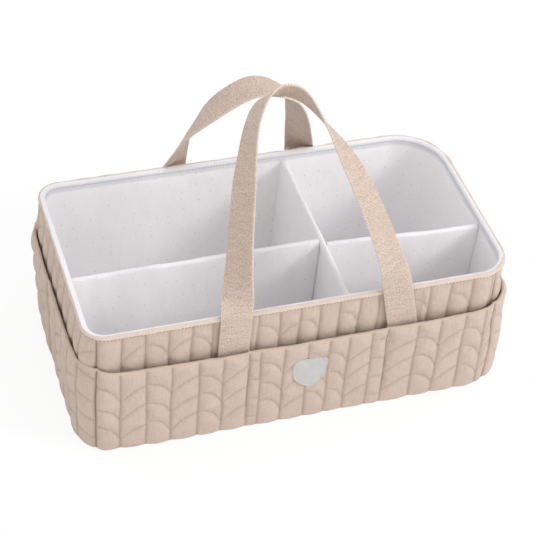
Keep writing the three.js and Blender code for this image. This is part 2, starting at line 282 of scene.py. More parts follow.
def liningFinish():
    # the top colour is painted shade, mixed in by height near the rim
    look = {"light": tint(255, 253, 254), "dark": tint(247, 245, 247), "fleck": tint(180, 180, 187),
            "top": tint(226, 225, 229), "rimShadeFrom": 0.1285, "rimShadeTo": 0.1325, "fleckPitch": 0.015}
    finish = Finish("liningCotton", Roughness=0.85, Sheen_Weight=0.08)
    vector = finish.cloth()
    weave, upright, level = wovenLinen(finish, vector, 0.0005, 0.0009)
    tone = 0.62 + weave * 0.05 + upright * 0.5 + level * 0.4
    colour = finish.mixed(tone, look["dark"], look["light"])
    height = finish.part(finish.object(), 2)
    # painted shade: the lining, its roll and the divider tops turn greyer near the rim, where the lamps light them
    # most
    colour = finish.mixed(height.ramp(look["rimShadeFrom"], look["rimShadeTo"]) * 0.85, colour, look["top"])
    spots = finish.stretched(vector, 1 / look["fleckPitch"], 1 / look["fleckPitch"])
    near, hue = (finish.cells(spots, 1, output, "2D") for output in (0, 1))
    kept = finish.part(hue, 0).above(0.35)  # some cells have no fleck
    fleck = (1 - near.ramp(0.02, 0.055)) * kept * 0.65
    finish.colour(finish.mixed(fleck, colour, look["fleck"]))
    creases = finish.noise(finish.stretched(vector, 55, 26), 3, 0.55)
    finish.bump(weave * 0.1 + upright * 0.4 + level * 0.35 + creases * 2.6, 0.0005)
    return finish.material


def webbingFinish():
    # the edge colour is a painted highlight for the rounded selvedges
    look = {"light": tint(239, 219, 205), "dark": tint(178, 149, 129), "edge": tint(242, 227, 215),
            "column": 0.0036, "pitch": 0.0017, "rib": 0.0009, "halfWidth": 0.0145}
    finish = Finish("cottonWebbing", Roughness=0.92, Sheen_Weight=0.1, Sheen_Roughness=0.5)
    vector = finish.cloth()
    across, along = finish.part(vector, 0), finish.part(vector, 1)
    zigzag = ((across / (2 * look["column"]) + 100).rest() - 0.5).size() * (2 * look["column"])
    rows = ((along + zigzag) * (2 * math.pi / look["pitch"])).sine()
    ribs = (across * (2 * math.pi / look["rib"])).sine()
    grain = finish.noise(finish.stretched(vector, 760, 620), 2, 0.6) - 0.5
    uneven = finish.noise(finish.stretched(vector, 60, 200), 3, 0.6) - 0.5
    tone = 0.62 + rows * 0.16 + ribs * 0.05 + grain * 2.1 + uneven * 0.5
    colour = finish.mixed(tone, look["dark"], look["light"])
    # painted highlight: a lighter strip along both selvedges, where the rounded edges catch the light
    edge = across.size().ramp(look["halfWidth"] - 0.0016, look["halfWidth"] - 0.0008)
    finish.colour(finish.mixed(edge * 0.3, colour, look["edge"]))
    finish.bump(rows * 0.7 + ribs * 0.35 + grain * 1.2, 0.00035)
    return finish.material


def patchFinish():
    look = {"light": tint(216, 215, 213), "dark": tint(190, 189, 187)}
    finish = Finish("patchCloth", Roughness=0.8, Sheen_Weight=0.1)
    vector = finish.cloth()
    weave, upright, level = wovenLinen(finish, vector, 0.0006, 0.0009)
    mottle = finish.noise(finish.stretched(vector, 120, 90), 2, 0.5) - 0.5
    tone = 0.55 + weave * 0.1 + upright * 0.4 + level * 0.4 + mottle * 0.6
    finish.colour(finish.mixed(tone, look["dark"], look["light"]))
    finish.bump(weave * 0.4 + upright + level + mottle * 2, 0.0003)
    return finish.material


def threadFinish(name, light, dark):
    finish = Finish(name, Roughness=0.7, Sheen_Weight=0.1)
    twist = finish.noise(finish.stretched(finish.object(), 1500, 1500, 1500), 2, 0.6)
    finish.colour(finish.mixed(twist, dark, light))
    finish.bump(twist, 0.0002)
    return finish.material


def boardFinish():
    look = {"light": tint(200, 190, 172), "dark": tint(165, 153, 134)}
    finish = Finish("stiffBoard", Roughness=0.8)
    place = finish.object()
    fibres = finish.noise(finish.stretched(place, 900, 900, 140), 4, 0.6)
    blots = finish.noise(finish.stretched(place, 60, 60, 60), 3, 0.5)
    finish.colour(finish.mixed(fibres * 0.7 + blots * 0.3, look["dark"], look["light"]))
    finish.bump(fibres, 0.0003)
    return finish.material


def tapeFinish(name, scale, height):
    look = {"light": tint(246, 245, 243), "dark": tint(214, 212, 208)}
    finish = Finish(name, Roughness=0.75, Sheen_Weight=0.2)
    loops = finish.cells(finish.object(), 0.35, scale=scale)
    finish.colour(finish.mixed(loops.ramp(0, 0.7), look["light"], look["dark"]))
    finish.bump(1 - loops, height)
    return finish.material


finishes = {
    "quilt": quiltedCottonFinish(),
    "binding": bindingFinish(),
    "lining": liningFinish(),
    "webbing": webbingFinish(),
    "patch": patchFinish(),
    "board": boardFinish(),
    "hooks": tapeFinish("hookTape", 900, 0.00012),
    "loops": tapeFinish("loopTape", 1400, 0.00015),
    "seamThread": threadFinish("seamThread", tint(206, 182, 164), tint(158, 130, 110)),
    "topThread": threadFinish("topThread", tint(176, 144, 122), tint(134, 104, 84)),
    "liningThread": threadFinish("liningThread", tint(200, 205, 214), tint(160, 166, 178)),
    "patchThread": threadFinish("patchThread", tint(236, 237, 237), tint(204, 205, 205)),
}
print("materials made")


# making meshes

def clearSelection():
    if bpy.context.object and bpy.context.object.mode != "OBJECT":
        bpy.ops.object.mode_set(mode="OBJECT")
    bpy.ops.object.select_all(action="DESELECT")


def activate(piece):
    clearSelection()
    piece.select_set(True)
    bpy.context.view_layer.objects.active = piece


def applyModifier(piece, kind, **settings):
    activate(piece)
    modifier = piece.modifiers.new(kind.title(), kind)
    for key, value in settings.items():
        setattr(modifier, key, value)
    bpy.ops.object.modifier_apply(modifier=modifier.name)


def finishPiece(piece, material, where, nodes=(), angle=50):
    piece.data.materials.clear()
    piece.data.materials.append(finishes[material])
    activate(piece)
    bpy.ops.object.shade_smooth_by_angle(angle=math.radians(angle))
    if where:
        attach(piece, where)
    if nodes:
        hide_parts(*nodes)
    return piece


def shapedGrid(name, columns, rows, shape, closedColumns=False, closedRows=False, filled=False):
    # a grid primitive whose points go where shape(column, row) says, which also gives the cloth's coordinates
    clearSelection()
    bpy.ops.mesh.primitive_grid_add(x_subdivisions=columns, y_subdivisions=rows, size=1)
    piece = bpy.context.object
    piece.name = piece.data.name = name
    mesh = piece.data
    flat = np.zeros(len(mesh.vertices) * 3)
    mesh.vertices.foreach_get("co", flat)
    flat = flat.reshape(-1, 3)
    column = np.rint((flat[:, 0] + 0.5) * columns).astype(int)
    row = np.rint((flat[:, 1] + 0.5) * rows).astype(int)
    place, cloth = shape(column, row)
    mesh.vertices.foreach_set("co", place.astype(np.float32).ravel())
    mesh.uv_layers[0].name = "cloth"
    layCloth(mesh, cloth)
    mesh.update()
    if closedColumns or closedRows or filled:
        activate(piece)
        bpy.ops.object.mode_set(mode="EDIT")
        bpy.ops.mesh.select_all(action="SELECT")
        bpy.ops.mesh.remove_doubles(threshold=1e-6)
        if filled:
            bpy.ops.mesh.fill_holes(sides=0)
        bpy.ops.mesh.select_all(action="SELECT")
        bpy.ops.mesh.normals_make_consistent(inside=False)
        bpy.ops.object.mode_set(mode="OBJECT")
    return piece


def newPiece(name, places, faces, cloth=None):
    # a linked piece from points and faces, with the cloth's own coordinates of each point
    mesh = bpy.data.meshes.new(name)
    mesh.from_pydata([tuple(place) for place in places], [], faces)
    if cloth is not None:
        mesh.uv_layers.new(name="cloth")
        layCloth(mesh, cloth)
    piece = bpy.data.objects.new(name, mesh)
    scene.collection.objects.link(piece)
    return piece


def layCloth(mesh, cloth):
    corner = np.zeros(len(mesh.loops), dtype=np.int32)
    mesh.loops.foreach_get("vertex_index", corner)
    mesh.uv_layers["cloth"].data.foreach_set("uv", cloth[corner].astype(np.float32).ravel())


def laidFaces(flat, faces):
    # the faces of a flat mesh, all turned anticlockwise
    laid = []
    for face in faces:
        a, b, c = (flat[face[i]] for i in (0, 1, 2))
        turn = (b[0] - a[0]) * (c[1] - a[1]) - (b[1] - a[1]) * (c[0] - a[0])
        laid.append(list(face) if turn > 0 else list(face)[::-1])
    return laid


def runsOf(points):
    steps = np.linalg.norm(np.diff(points, axis=0), axis=1)
    return np.concatenate([[0], np.cumsum(steps)])


def sewStitches(name, lines, material, stitch):
    # one small spindle, copied along lines of (points, normals)
    turns = np.linspace(0, 2 * np.pi, 6)[:-1]
    template = [(-0.5, 0, 0)]
    for x, thick in ((-0.32, 0.8), (0, 1), (0.32, 0.8)):
        template += [(x, thick * math.cos(t), thick * math.sin(t)) for t in turns]
    template.append((0.5, 0, 0))
    template = np.array(template)
    faces = []
    for k in range(5):
        n = (k + 1) % 5
        faces.append((0, 1 + n, 1 + k))
        faces += [(1 + k, 1 + n, 6 + n, 6 + k), (6 + k, 6 + n, 11 + n, 11 + k)]
        faces.append((11 + k, 11 + n, 16))
    points, polygons = [], []
    for places, normals in lines:
        run = runsOf(places)
        for middle in np.arange(stitch["pitch"] / 2, run[-1], stitch["pitch"]):
            at = [np.array([np.interp(middle + d, run, places[:, k]) for k in range(3)])
                  for d in (-stitch["length"] / 2, 0, stitch["length"] / 2)]
            up = np.array([np.interp(middle, run, normals[:, k]) for k in range(3)])
            way = at[2] - at[0]
            reach = np.linalg.norm(way)
            if reach < stitch["length"] * 0.5:
                continue
            way /= reach
            up -= way * (up @ way)
            if np.linalg.norm(up) < 1e-6:
                continue
            up /= np.linalg.norm(up)
            side = np.cross(up, way)
            base = len(points)
            shaped = (at[1] + np.outer(template[:, 0] * reach, way)
                      + np.outer(template[:, 1] * stitch["radius"], side)
                      + np.outer(template[:, 2] * stitch["radius"] * 0.8, up) + up * stitch["lift"])
            points.extend(shaped)
            polygons += [tuple(base + i for i in face) for face in faces]
    return finishPiece(newPiece(name, points, polygons), material, "caddy")


# quilted panels: a flat pattern with sewn lines, swelled by cloth simulation and wrapped round the outline

swell = {"pressure": 260, "shrink": -0.008, "tension": 15, "bending": 0.05, "quality": 4, "mass": 0.15,
         "damping": 5, "frames": 15, "slide": 0.0008, "sink": 0.001, "most": 0.0034, "quickLift": 0.0019,
         "quickWidth": 0.0045}
quilting = {"step": 0.0017, "veinPitch": 0.0245, "veinShift": 0.0013, "veinPoints": 15, "leastPoints": 8,
            "barPoints": 3, "footClear": 0.002, "topClear": 0.0015, "wobble": 0.00035, "wobblePitch": 0.075,
            "uprightFold": 0.0017, "veinFold": 0.0015, "fill": 0.45}
veinShapes = {"rise": (0.017, 1.7), "fall": (0.0185, 3.0), "flat": (0.004, 1.5), "bar": (0.0, 1)}  # height, bend


def sewnWobble(line, up):
    return quilting["wobble"] * np.sin(2 * np.pi * (up / quilting["wobblePitch"] + 0.37 * line))


def patternLines(runs, cells, low, high, plan):
    # each sewn line as (run, height) points; uprights are cut where the side veins meet them
    def upright(k, up):
        return runs[k] + (0 if k in (0, len(runs) - 1) else sewnWobble(k, up))

    veins, meets = [], {k: [] for k in range(len(runs))}
    dice = np.random.default_rng(plan["seed"])
    for k, kind in enumerate(cells):
        shift = dice.uniform(-quilting["veinShift"], quilting["veinShift"])
        isBar = kind == "bar"
        for j in range(-3, 9):
            foot = plan["veinFoot"] + j * quilting["veinPitch"] + shift
            if kind == "plain" or foot < plan.get("lowest", low) or foot > plan.get("highest", high):
                continue
            rise, bend = veinShapes[kind]
            rise *= dice.uniform(0.9, 1.1)
            share = np.linspace(0, 1, quilting["barPoints"] if isBar else quilting["veinPoints"])
            up = foot + rise * (1 - (1 - share) ** bend)
            stem, edge = (k, k + 1) if kind == "rise" else (k + 1, k)
            across = upright(stem, up) * (1 - share) + upright(edge, up) * share
            inside = (up > low + quilting["footClear"]) & (up < high - quilting["topClear"])
            if inside.sum() < (quilting["barPoints"] if isBar else quilting["leastPoints"]):
                continue
            if inside[0]:
                meets[stem].append(up[0])
            if inside[-1]:
                meets[edge].append(up[-1])
            veins.append(np.stack([across[inside], up[inside]], 1))
    lines = []
    for k in range(len(runs)):
        heights = list(meets[k])
        for up in plan["levels"](low, high):
            if all(abs(up - taken) > 0.5 * quilting["step"] for taken in heights):
                heights.append(up)
        heights = np.array(sorted(heights))
        lines.append(np.stack([np.broadcast_to(upright(k, heights), heights.shape), heights], 1))
    return lines, veins


def flatPattern(runs, cells, plan):
    low, high, step = plan["low"], plan["high"], quilting["step"]
    uprights, veins = patternLines(runs, cells, low, plan["sewnTop"], plan)
    points, edges, sewn = [], [], []

    def addLine(line, held):
        first = len(points)
        points.extend(map(tuple, line))
        sewn.extend([held] * len(line))
        edges.extend((i, i + 1) for i in range(first, len(points) - 1))

    for line in uprights:
        addLine(line, 1.0)
    for line in veins:
        addLine(line, 0.75)
    across = np.linspace(runs[0], runs[-1], int((runs[-1] - runs[0]) / step) + 1)
    for height, held in [(low, 1.0)] + [(up, 0.0) for up in plan["hem"]] + [(high, 0.0)]:
        addLine(np.stack([across, np.full_like(across, height)], 1), held)
    for run in (runs[0], runs[-1]):
        addLine(np.array([(run, plan["sewnTop"]), (run, high)]), 0.0)
    tree = KDTree(len(points))
    for i, (a, b) in enumerate(points):
        tree.insert((a, b, 0), i)
    tree.balance()
    dice = np.random.default_rng(plan["seed"] + 100)
    row, up = 0, low
    while up < high:
        wide = step if plan["fineFrom"] < up else step * plan["coarse"]
        for a in np.arange(runs[0], runs[-1], wide) + (wide / 2 if row % 2 else 0):
            spot = (a + dice.normal(0, wide * 0.08), up + dice.normal(0, wide * 0.08), 0)
            inside = runs[0] < spot[0] < runs[-1] and low < spot[1] < high
            if inside and tree.find(spot)[2] > wide * 0.6:
                points.append(spot[:2])
                sewn.append(0.0)
        up += wide * 0.87
        row += 1
    result = delaunay_2d_cdt([Vector(p) for p in points], edges, [], 0, 1e-6)
    flat = np.array([tuple(v) for v in result[0]])
    held = np.array([max((sewn[i] for i in known), default=0.0) for known in result[3]])
    return flat, laidFaces(flat, result[2]), held, uprights, veins


def swelled(name, flat, faces, held, strength=1.0):
    # how far each point moves when wadding fills the cloth between its sewn lines
    pad = newPiece(name + "Pattern", [(a, b, 0) for a, b in flat], faces)
    mesh = pad.data
    group = pad.vertex_groups.new(name="sewn")
    group.add([int(i) for i in np.flatnonzero(held > 0)], 1.0, "REPLACE")
    cloth = pad.modifiers.new("Cloth", "CLOTH")
    settings = cloth.settings
    settings.quality, settings.mass, settings.air_damping = swell["quality"], swell["mass"], swell["damping"]
    settings.tension_stiffness = settings.compression_stiffness = swell["tension"]
    settings.shear_stiffness = swell["tension"] / 2
    settings.bending_stiffness = swell["bending"]
    settings.use_pressure = True
    settings.uniform_pressure_force = swell["pressure"] * strength
    settings.vertex_group_mass = "sewn"
    settings.shrink_min = swell["shrink"]
    settings.effector_weights.gravity = 0
    cloth.collision_settings.use_collision = False
    cloth.point_cache.frame_start, cloth.point_cache.frame_end = 1, swell["frames"] + 5
    for step in range(1, swell["frames"] + 1):
        scene.frame_set(step)
    result = pad.evaluated_get(bpy.context.evaluated_depsgraph_get())
    after = np.zeros(len(flat) * 3, dtype=np.float32)
    result.data.vertices.foreach_get("co", after)
    after = after.reshape(-1, 3).astype(float)
    bpy.data.objects.remove(pad)
    bpy.data.meshes.remove(mesh)
    scene.frame_set(1)
    moved = after - np.column_stack([flat, np.zeros(len(flat))])
    moved[:, :2] = np.clip(moved[:, :2], -swell["slide"], swell["slide"])
    moved[:, 2] = np.clip(moved[:, 2], -swell["sink"], swell["most"])
    return moved


def channelCrown(run, runs):
    # 0 on the upright lines and 1 midway between them
    k = np.clip(np.searchsorted(runs, run, side="right") - 1, 0, len(runs) - 2)
    edges = np.array(runs)
    width = edges[k + 1] - edges[k]
    share = np.clip((run - edges[k]) / width, 0, 1)
    return (1 - np.abs(2 * share - 1) ** 4) * np.clip(width / 0.02, 0, 1)


def foldDepth(flat, lines, width):
    # 1 on the sewn lines, fading over a few millimetres
    dense = []
    for line in lines:
        run = runsOf(line)
        spots = np.arange(0, run[-1], 0.0005)
        dense.append(np.stack([np.interp(spots, run, line[:, k]) for k in (0, 1)], 1))
    dense = np.concatenate(dense)
    tree = KDTree(len(dense))
    for i, (a, b) in enumerate(dense):
        tree.insert((a, b, 0), i)
    tree.balance()
    near = np.array([tree.find((a, b, 0))[2] for a, b in flat])
    return np.exp(-(near / width) ** 1.3)


def wrappedPanel(name, flat, faces, held, fold, outer, inner, weldTop):
    # a closed quilt from its outer and inner faces, joined round the edges and welded along the hem
    count = len(flat)
    twin = np.arange(count) + count
    if weldTop:
        top = flat[:, 1] > flat[:, 1].max() - 1e-5
        twin[top] = np.flatnonzero(top)
    used = dict.fromkeys((a, b) for face in faces for a, b in zip(face, face[1:] + face[:1]))
    rims = [(a, b) for a, b in used if (b, a) not in used]
    polygons = [tuple(face) for face in faces]
    polygons += [tuple(int(twin[i]) for i in reversed(face)) for face in faces]
    for a, b in rims:
        loop = (b, a, int(twin[a]), int(twin[b]))
        if len(set(loop)) > 2:
            polygons.append(tuple(dict.fromkeys(loop)))
    places = np.concatenate([outer, inner])
    keep = np.concatenate([np.ones(count, bool), twin >= count])
    fresh = np.cumsum(keep) - 1
    polygons = [tuple(int(fresh[i]) for i in polygon) for polygon in polygons]
    piece = newPiece(name, places[keep], polygons, np.concatenate([flat, flat])[keep])
    for attribute, values in (("sewn", held), ("fold", fold)):
        layer = piece.data.attributes.new(attribute, "FLOAT", "POINT")
        layer.data.foreach_set("value", np.concatenate([values, values * 0])[keep].astype(np.float32))
    return piece


seamStitch = {"pitch": 0.0032, "length": 0.0023, "radius": 0.00028, "lift": 0.0001, "slot": "quilted_cotton"}


def quiltedLift(flat, runs, uprights, veins, moved, settings):
    # how far the cloth stands out, and how deep each point lies in a fold
    crown = channelCrown(flat[:, 0], runs) * settings["crown"]
    fold = foldDepth(flat, uprights, quilting["uprightFold"])
    vein = foldDepth(flat, veins, quilting["veinFold"])
    lift = moved[:, 2] * settings["gain"] + crown - settings["groove"] * vein * (1 - fold)
    return np.maximum(lift, 0), np.maximum(fold, vein * 0.6)


def lineLift(lifted, settings):
    # the stitches lie in the groove
    return np.maximum(lifted - settings["groove"] * (lifted > 0.0001), 0)

# the pocket band

band = {"outset": 0.0089, "top": 0.0994, "thickness": 0.0030, "footRadius": 0.003, "footReach": 0.012,
        "crown": 0.0008, "rumple": 0.0005, "crinkle": 0.00022, "drawIn": 0.0024, "drawWidth": 0.0060, "swell": 1.0,
        "gain": 1.6, "groove": 0.0006, "endSeamY": 0.015, "pitch": 0.0235, "barWidth": 0.0105, "leftPuff": 0.7,
        "tuck": 0.0014, "tuckWidth": 0.0022, "drawBehind": 0.0022, "hemFrom": 0.016, "hemTo": 0.002}
bandOutline = Outline(-band["outset"], 28, (0.032, 0.050, 0.031, 0.021))

frontUprights = [-175.2, -151.4, -128.8, -103.2, -81.1, -57.1, -45.9, -24.1, -1.1, 19.3, 37.5, 60.4, 75.7,
                 104.7, 127.9, 152.0, 173.9]
frontCells = ["fall", "rise", "fall", "rise", "fall", "rise", "bar", "fall", "rise", "fall", "fall", "rise", "bar",
              "rise", "fall", "rise", "fall", "rise"]
rearSeams = [-53.3, 42.8]


def evenRuns(start, end, pitch):
    count = max(1, round((end - start) / pitch))
    return list(np.linspace(start, end, count + 1))


def bandPlan(side):
    start, end = bandOutline.span(side)
    if side == "front":
        runs = [start] + [float(bandOutline.runOf(side, x * mm)) for x in frontUprights] + [end]
        return runs, frontCells, [runs[6], runs[13]]  # the two dividing seams
    if side == "rear":
        seams = sorted(float(bandOutline.runOf(side, x * mm)) for x in rearSeams)
    else:
        seams = [float(bandOutline.runOf(side, band["endSeamY"]))]
    runs, cells = [start], []
    for seam, after in zip(seams + [end], seams[1:] + [end, end]):
        stretch = evenRuns(runs[-1], seam, band["pitch"])
        for k in range(len(stretch) - 1):
            cells.append("rise" if k % 2 else "fall")
        runs += stretch[1:]
        if seam != end:
            runs.append(seam + band["barWidth"])
            cells.append("bar")
    if side == "left":
        cells[-1] = "flat"
    return runs, cells, seams


flare = {"rightFoot": 0.0046, "rightCrest": 0.0012, "left": 0.0012, "leftFoot": 0.0028, "frontFoot": 0.0014,
         "leftHug": 0.0042, "rightHug": 0.0018, "hemRise": 0.8, "hemDip": 0.0014, "leftDraw": 0.0024,
         "rearDraw": 0.0030}
bandCorners = {"frontLeft": (-0.2036, -0.1041), "frontRight": (0.1954, -0.1009), "rearLeft": (-0.2036, 0.1041)}


def bandFlare(place, out, up):
    # how the band leans out at its foot on the front and right and in on the left, hugs the front corners
    # at its hem and is drawn in at the left ones; also how far its hem rises
    foot, crest, hem = 1 - smooth(up, 0, 0.08), smooth(up, 0.04, 0.095), smooth(up, 0.05, 0.098)
    side = np.where(out[:, 0] > 0, flare["rightFoot"] * foot - flare["rightCrest"] * crest,
                    -flare["left"] - flare["leftFoot"] * foot)
    front = np.where(out[:, 1] < 0, flare["frontFoot"] * foot * smooth(place[:, 0], -0.2, -0.1), 0)

    def near(corner, reach):
        x, y = bandCorners[corner]
        return np.exp(-((place[:, 0] - x) ** 2 + (place[:, 1] - y) ** 2) / reach ** 2)

    hug = (near("frontLeft", 0.026) * flare["leftHug"] + near("frontRight", 0.030) * flare["rightHug"]) * hem
    drawn = (near("frontLeft", 0.024) * flare["leftDraw"] * foot
             + near("rearLeft", 0.050) * flare["rearDraw"] * (1 - hem))
    middle = 1 - smooth(np.abs(place[:, 0] - 0.01), 0.08, 0.15)
    dip = smooth(-out[:, 1], 0.9, 1) * middle * flare["hemDip"]
    ground = np.column_stack([side * out[:, 0], front * out[:, 1]]) - out * (hug + drawn)[:, None]
    return ground, hug * flare["hemRise"] - dip * hem


def bandShape(side, run, up, lift, seams, inner=False):
    # where a point of the flat pattern goes: round the foot, up the side and over the hem
    r, thick = band["footRadius"], band["thickness"]
    hem = thick / 2
    turned = np.clip((r - up) / r, 0, np.pi / 2)
    under = np.clip(r - np.pi * r / 2 - up, 0, None)
    over = np.clip((up - (band["top"] - hem)) / hem, 0, np.pi / 2)
    straight = np.clip(up, r, band["top"] - hem)
    start, end = bandOutline.span(side)
    ends = np.minimum(np.abs(run - start), np.abs(run - end))
    draw = np.zeros_like(run)
    for seam in seams:
        past = run - seam
        ahead = np.exp(-np.abs(past / band["drawWidth"]) ** 1.3)
        draw += np.where(past > 0, ahead, smooth(past, -band["drawBehind"], 0))
    draw *= 0.45 + 0.55 * (1 - smooth(up, band["top"] - band["hemFrom"], band["top"] - band["hemTo"]))
    if side == "front":
        run = run + (0.0008 + 0.0018 * (1 - np.clip(up / 0.1, 0, 1))) * smooth(ends, 0, 0.02)
    tuck = band["tuck"] * np.exp(-(ends / band["tuckWidth"]) ** 1.5)
    wave = (ripples(run, up, 11, 0.055, 0.06) * band["rumple"]
            + ripples(run, up, 12, 0.022, 0.03) * band["crinkle"])
    push = wave - band["drawIn"] * draw * smooth(up, -0.004, 0.02) - tuck
    lift = lift * (0.35 + 0.65 * smooth(up, -0.002, 0.030)) * (1 - 0.75 * over / (np.pi / 2))
    lift = lift * (band["leftPuff"] if side == "left" else 1)
    push = push * smooth(up, r - np.pi * r / 2, r)
    if not inner:
        depth = -r * (1 - np.cos(turned)) - under - hem * (1 - np.cos(over))
        height = np.where(up < r, r - r * np.sin(turned), straight) + hem * np.sin(over)
        depth += lift * np.cos(turned) * np.cos(over)
        height += -lift * np.sin(turned) + 0.4 * lift * np.sin(over)
    else:
        ri = r - thick * 0.75
        slim = thick * (1 - 0.4 * np.minimum(draw, 1))
        depth = np.where(up < r, -r + ri * np.cos(turned) - under, -slim + (slim - hem) * (1 - np.cos(over)))
        height = np.where(up < r, r - ri * np.sin(turned), straight + hem * np.sin(over))
        depth -= 0.25 * lift * np.cos(turned) * np.cos(over)
    place, out = bandOutline.at(run)
    leaned, raised = bandFlare(place, out, up)
    ground = place + out * (depth + push)[:, None] + leaned
    return np.column_stack([ground, np.maximum(height, 0.0001) + raised])


pressedSpot = {"run": 0.0040, "up": 0.060, "width": 0.0200, "height": 0.0215}


def patchMask(run, up):
    # 1 under the patch, which presses the quilting flat
    across = (run - pressedSpot["run"]) / pressedSpot["width"]
    upward = (up - pressedSpot["up"]) / pressedSpot["height"]
    return np.exp(-(across ** 6 + upward ** 6) * 0.8)


def bandLevels(low, high):
    return np.arange(low, high + 1e-9, quilting["step"])


def makeBandPanel(side, seed):
    runs, cells, seams = bandPlan(side)
    hem = band["thickness"] / 2
    sewnTop = band["top"] - hem
    low = band["footRadius"] * (1 - math.pi / 2) - band["footReach"]
    plan = {"seed": seed, "veinFoot": 0.0145, "low": low, "high": sewnTop + hem * math.pi / 2,
            "sewnTop": sewnTop, "fineFrom": -0.002, "coarse": 2,
            "hem": [sewnTop + hem * k * math.pi / 8 for k in (0, 1, 2, 3)], "lowest": -0.001, "levels": bandLevels}
    flat, faces, held, uprights, veins = flatPattern(runs, cells, plan)
    moved = swelled("pocket" + side, flat, faces, held, band["swell"])
    lift, folds = quiltedLift(flat, runs, uprights, veins, moved, band)
    lift = lift * (1 - smooth(flat[:, 1], sewnTop - 0.005, sewnTop + 0.001) * 0.7)
    if side == "front":
        lift = lift * (1 - patchMask(flat[:, 0], flat[:, 1]))
    print("swelled", round(float(moved[:, 2].max()) * 1e3, 2), "mm at most")
    up = flat[:, 1] + moved[:, 1] * (flat[:, 1] < sewnTop)
    outer = bandShape(side, flat[:, 0] + moved[:, 0], up, lift, seams)
    inner = bandShape(side, flat[:, 0], flat[:, 1], lift, seams, True)
    top = flat[:, 1] > flat[:, 1].max() - 1e-5
    inner[top] = outer[top]
    piece = wrappedPanel("pocketPanel" + side.title(), flat, faces, held, folds, outer, inner, True)
    finishPiece(piece, "quilt", "caddy", ["pocket_" + side], 70)
    lines = []
    for line in uprights[1:-1] + veins:
        lifted = channelCrown(line[:, 0], runs) * band["crown"]
        if side == "front":
            lifted = lifted * (1 - patchMask(line[:, 0], line[:, 1]))
        lifted = lineLift(lifted, band)
        kept = line[:, 1] < sewnTop - 0.0005
        line, lifted = line[kept], lifted[kept]
        if len(line) < 2:
            continue
        under = bandShape(side, line[:, 0], line[:, 1], lifted, seams)
        above = bandShape(side, line[:, 0], line[:, 1], lifted + 0.001, seams)
        lines.append((under, (above - under) / 0.001))
    sewStitches("pocketStitches" + side.title(), lines, "seamThread", seamStitch)
    return len(flat)


rib = {"past": 0.002, "low": 0.003, "high": 0.0955, "near": -0.0125, "far": -0.0022, "bend": 0.0006,
       "thickness": 0.0016, "columns": 12, "rows": 24}


def makeSeamRib(side, number, seam):
    # a strip of the same cloth that ties the band to the wall behind it
    place, out = (value[0] for value in bandOutline.at(np.array([seam + rib["past"]])))
    along = np.array([-out[1], out[0]])

    def shape(column, row):
        share, up = column / rib["columns"], rib["low"] + (rib["high"] - rib["low"]) * row / rib["rows"]
        depth = rib["near"] + (rib["far"] - rib["near"]) * share
        bend = rib["bend"] * np.sin(np.pi * share) * np.cos(up / 0.02)
        ground = place + np.outer(depth, out) + np.outer(bend, along)
        ground += bandFlare(np.tile(place, (len(up), 1)), np.tile(out, (len(up), 1)), up)[0]
        return np.column_stack([ground, up]), np.column_stack([depth, up])

    piece = shapedGrid(f"pocketSeamRib{side.title()}{number}", rib["columns"], rib["rows"], shape)
    applyModifier(piece, "SOLIDIFY", thickness=rib["thickness"], offset=0.0)
    finishPiece(piece, "quilt", "caddy", ["pocket_" + side], 60)


for number, side in enumerate(sides):
    print("pocket panel", side, makeBandPanel(side, 20 + number), "points")
    for k, seam in enumerate(bandPlan(side)[2]):
        makeSeamRib(side, k + 1, seam)

# the quilted shell behind and above the band

shell = {"inset": 0.0013, "thickness": 0.0019, "foot": 0.0019, "top": 0.1368, "crown": 0.0013, "rumple": 0.0004,
         "pitch": 0.020, "fineFrom": 0.088, "swell": 1.1, "gain": 1.25, "groove": 0.0006, "shift": 0.0013,
         "leftLoose": 0.0026, "rightLoose": 0.0024, "sewnFrom": 0.085, "sewnTo": 0.1345,
         "tuck": 0.0003, "tuckWidth": 0.0022, "pressedLift": 0.0004, "strapEase": (0.001, 0.006)}
shellOutline = Outline(shell["inset"], 31)
shellUprights = [-172.7, -151.6, -130.2, -109.6, -90.7, -70.5, -49.0, -28.2, -9.7, 9.0, 27.7, 46.8, 65.5,
                 81.5, 96.9, 115.1, 135.3, 156.7, 177.5]
shellCells = ["plain", "rise", "fall", "rise", "fall", "plain", "plain", "fall", "rise", "fall", "plain",
              "fall", "plain", "plain", "plain", "fall", "plain", "fall", "plain", "plain"]
# the middle and the half width of what the straps press flat
strapPlaces = {"front": [(-0.0696, 0.0145), (0.0895, 0.0165)], "rear": [(-0.0705, 0.0145), (0.0600, 0.0145)]}


def shellShape(side, run, up, lift, inner=False):
    start, end = shellOutline.span(side)
    ends = np.minimum(np.abs(run - start), np.abs(run - end))
    tuck = shell["tuck"] * np.exp(-(ends / shell["tuckWidth"]) ** 1.5)
    wave = ripples(run, up, 31, 0.05, 0.05) * shell["rumple"]
    puffed = (1 - smooth(up, 0.122, 0.1355)) * 0.85 + 0.15
    covered = 1 - smooth(up, 0.1335, 0.1352)
    place, out = shellOutline.at(run)
    loose = np.where(out[:, 0] < 0, shell["leftLoose"], shell["rightLoose"]) * out[:, 0] ** 2
    loose = loose * smooth(up, 0.02, 0.07) * (1 - smooth(up, 0.099, 0.132))
    push = (lift * puffed * (1 - 0.35 * out[:, 0] ** 2) + wave) * covered - tuck + loose
    for middle, half in strapPlaces.get(side, []):
        centre = float(shellOutline.runOf(side, middle))
        near, far = shell["strapEase"]
        pressed = 1 - smooth(np.abs(run - centre), half + near, half + far)
        push = push * (1 - pressed) + np.minimum(push, shell["pressedLift"]) * pressed
    depth = push if not inner else np.full_like(run, -shell["thickness"]) - tuck
    return np.column_stack([place + out * depth[:, None], up])


def shellLevels(low, high):
    fine = np.arange(shell["fineFrom"], high + 1e-9, quilting["step"])
    return np.concatenate([np.arange(low, shell["fineFrom"] - 0.004, quilting["step"] * 4), fine])


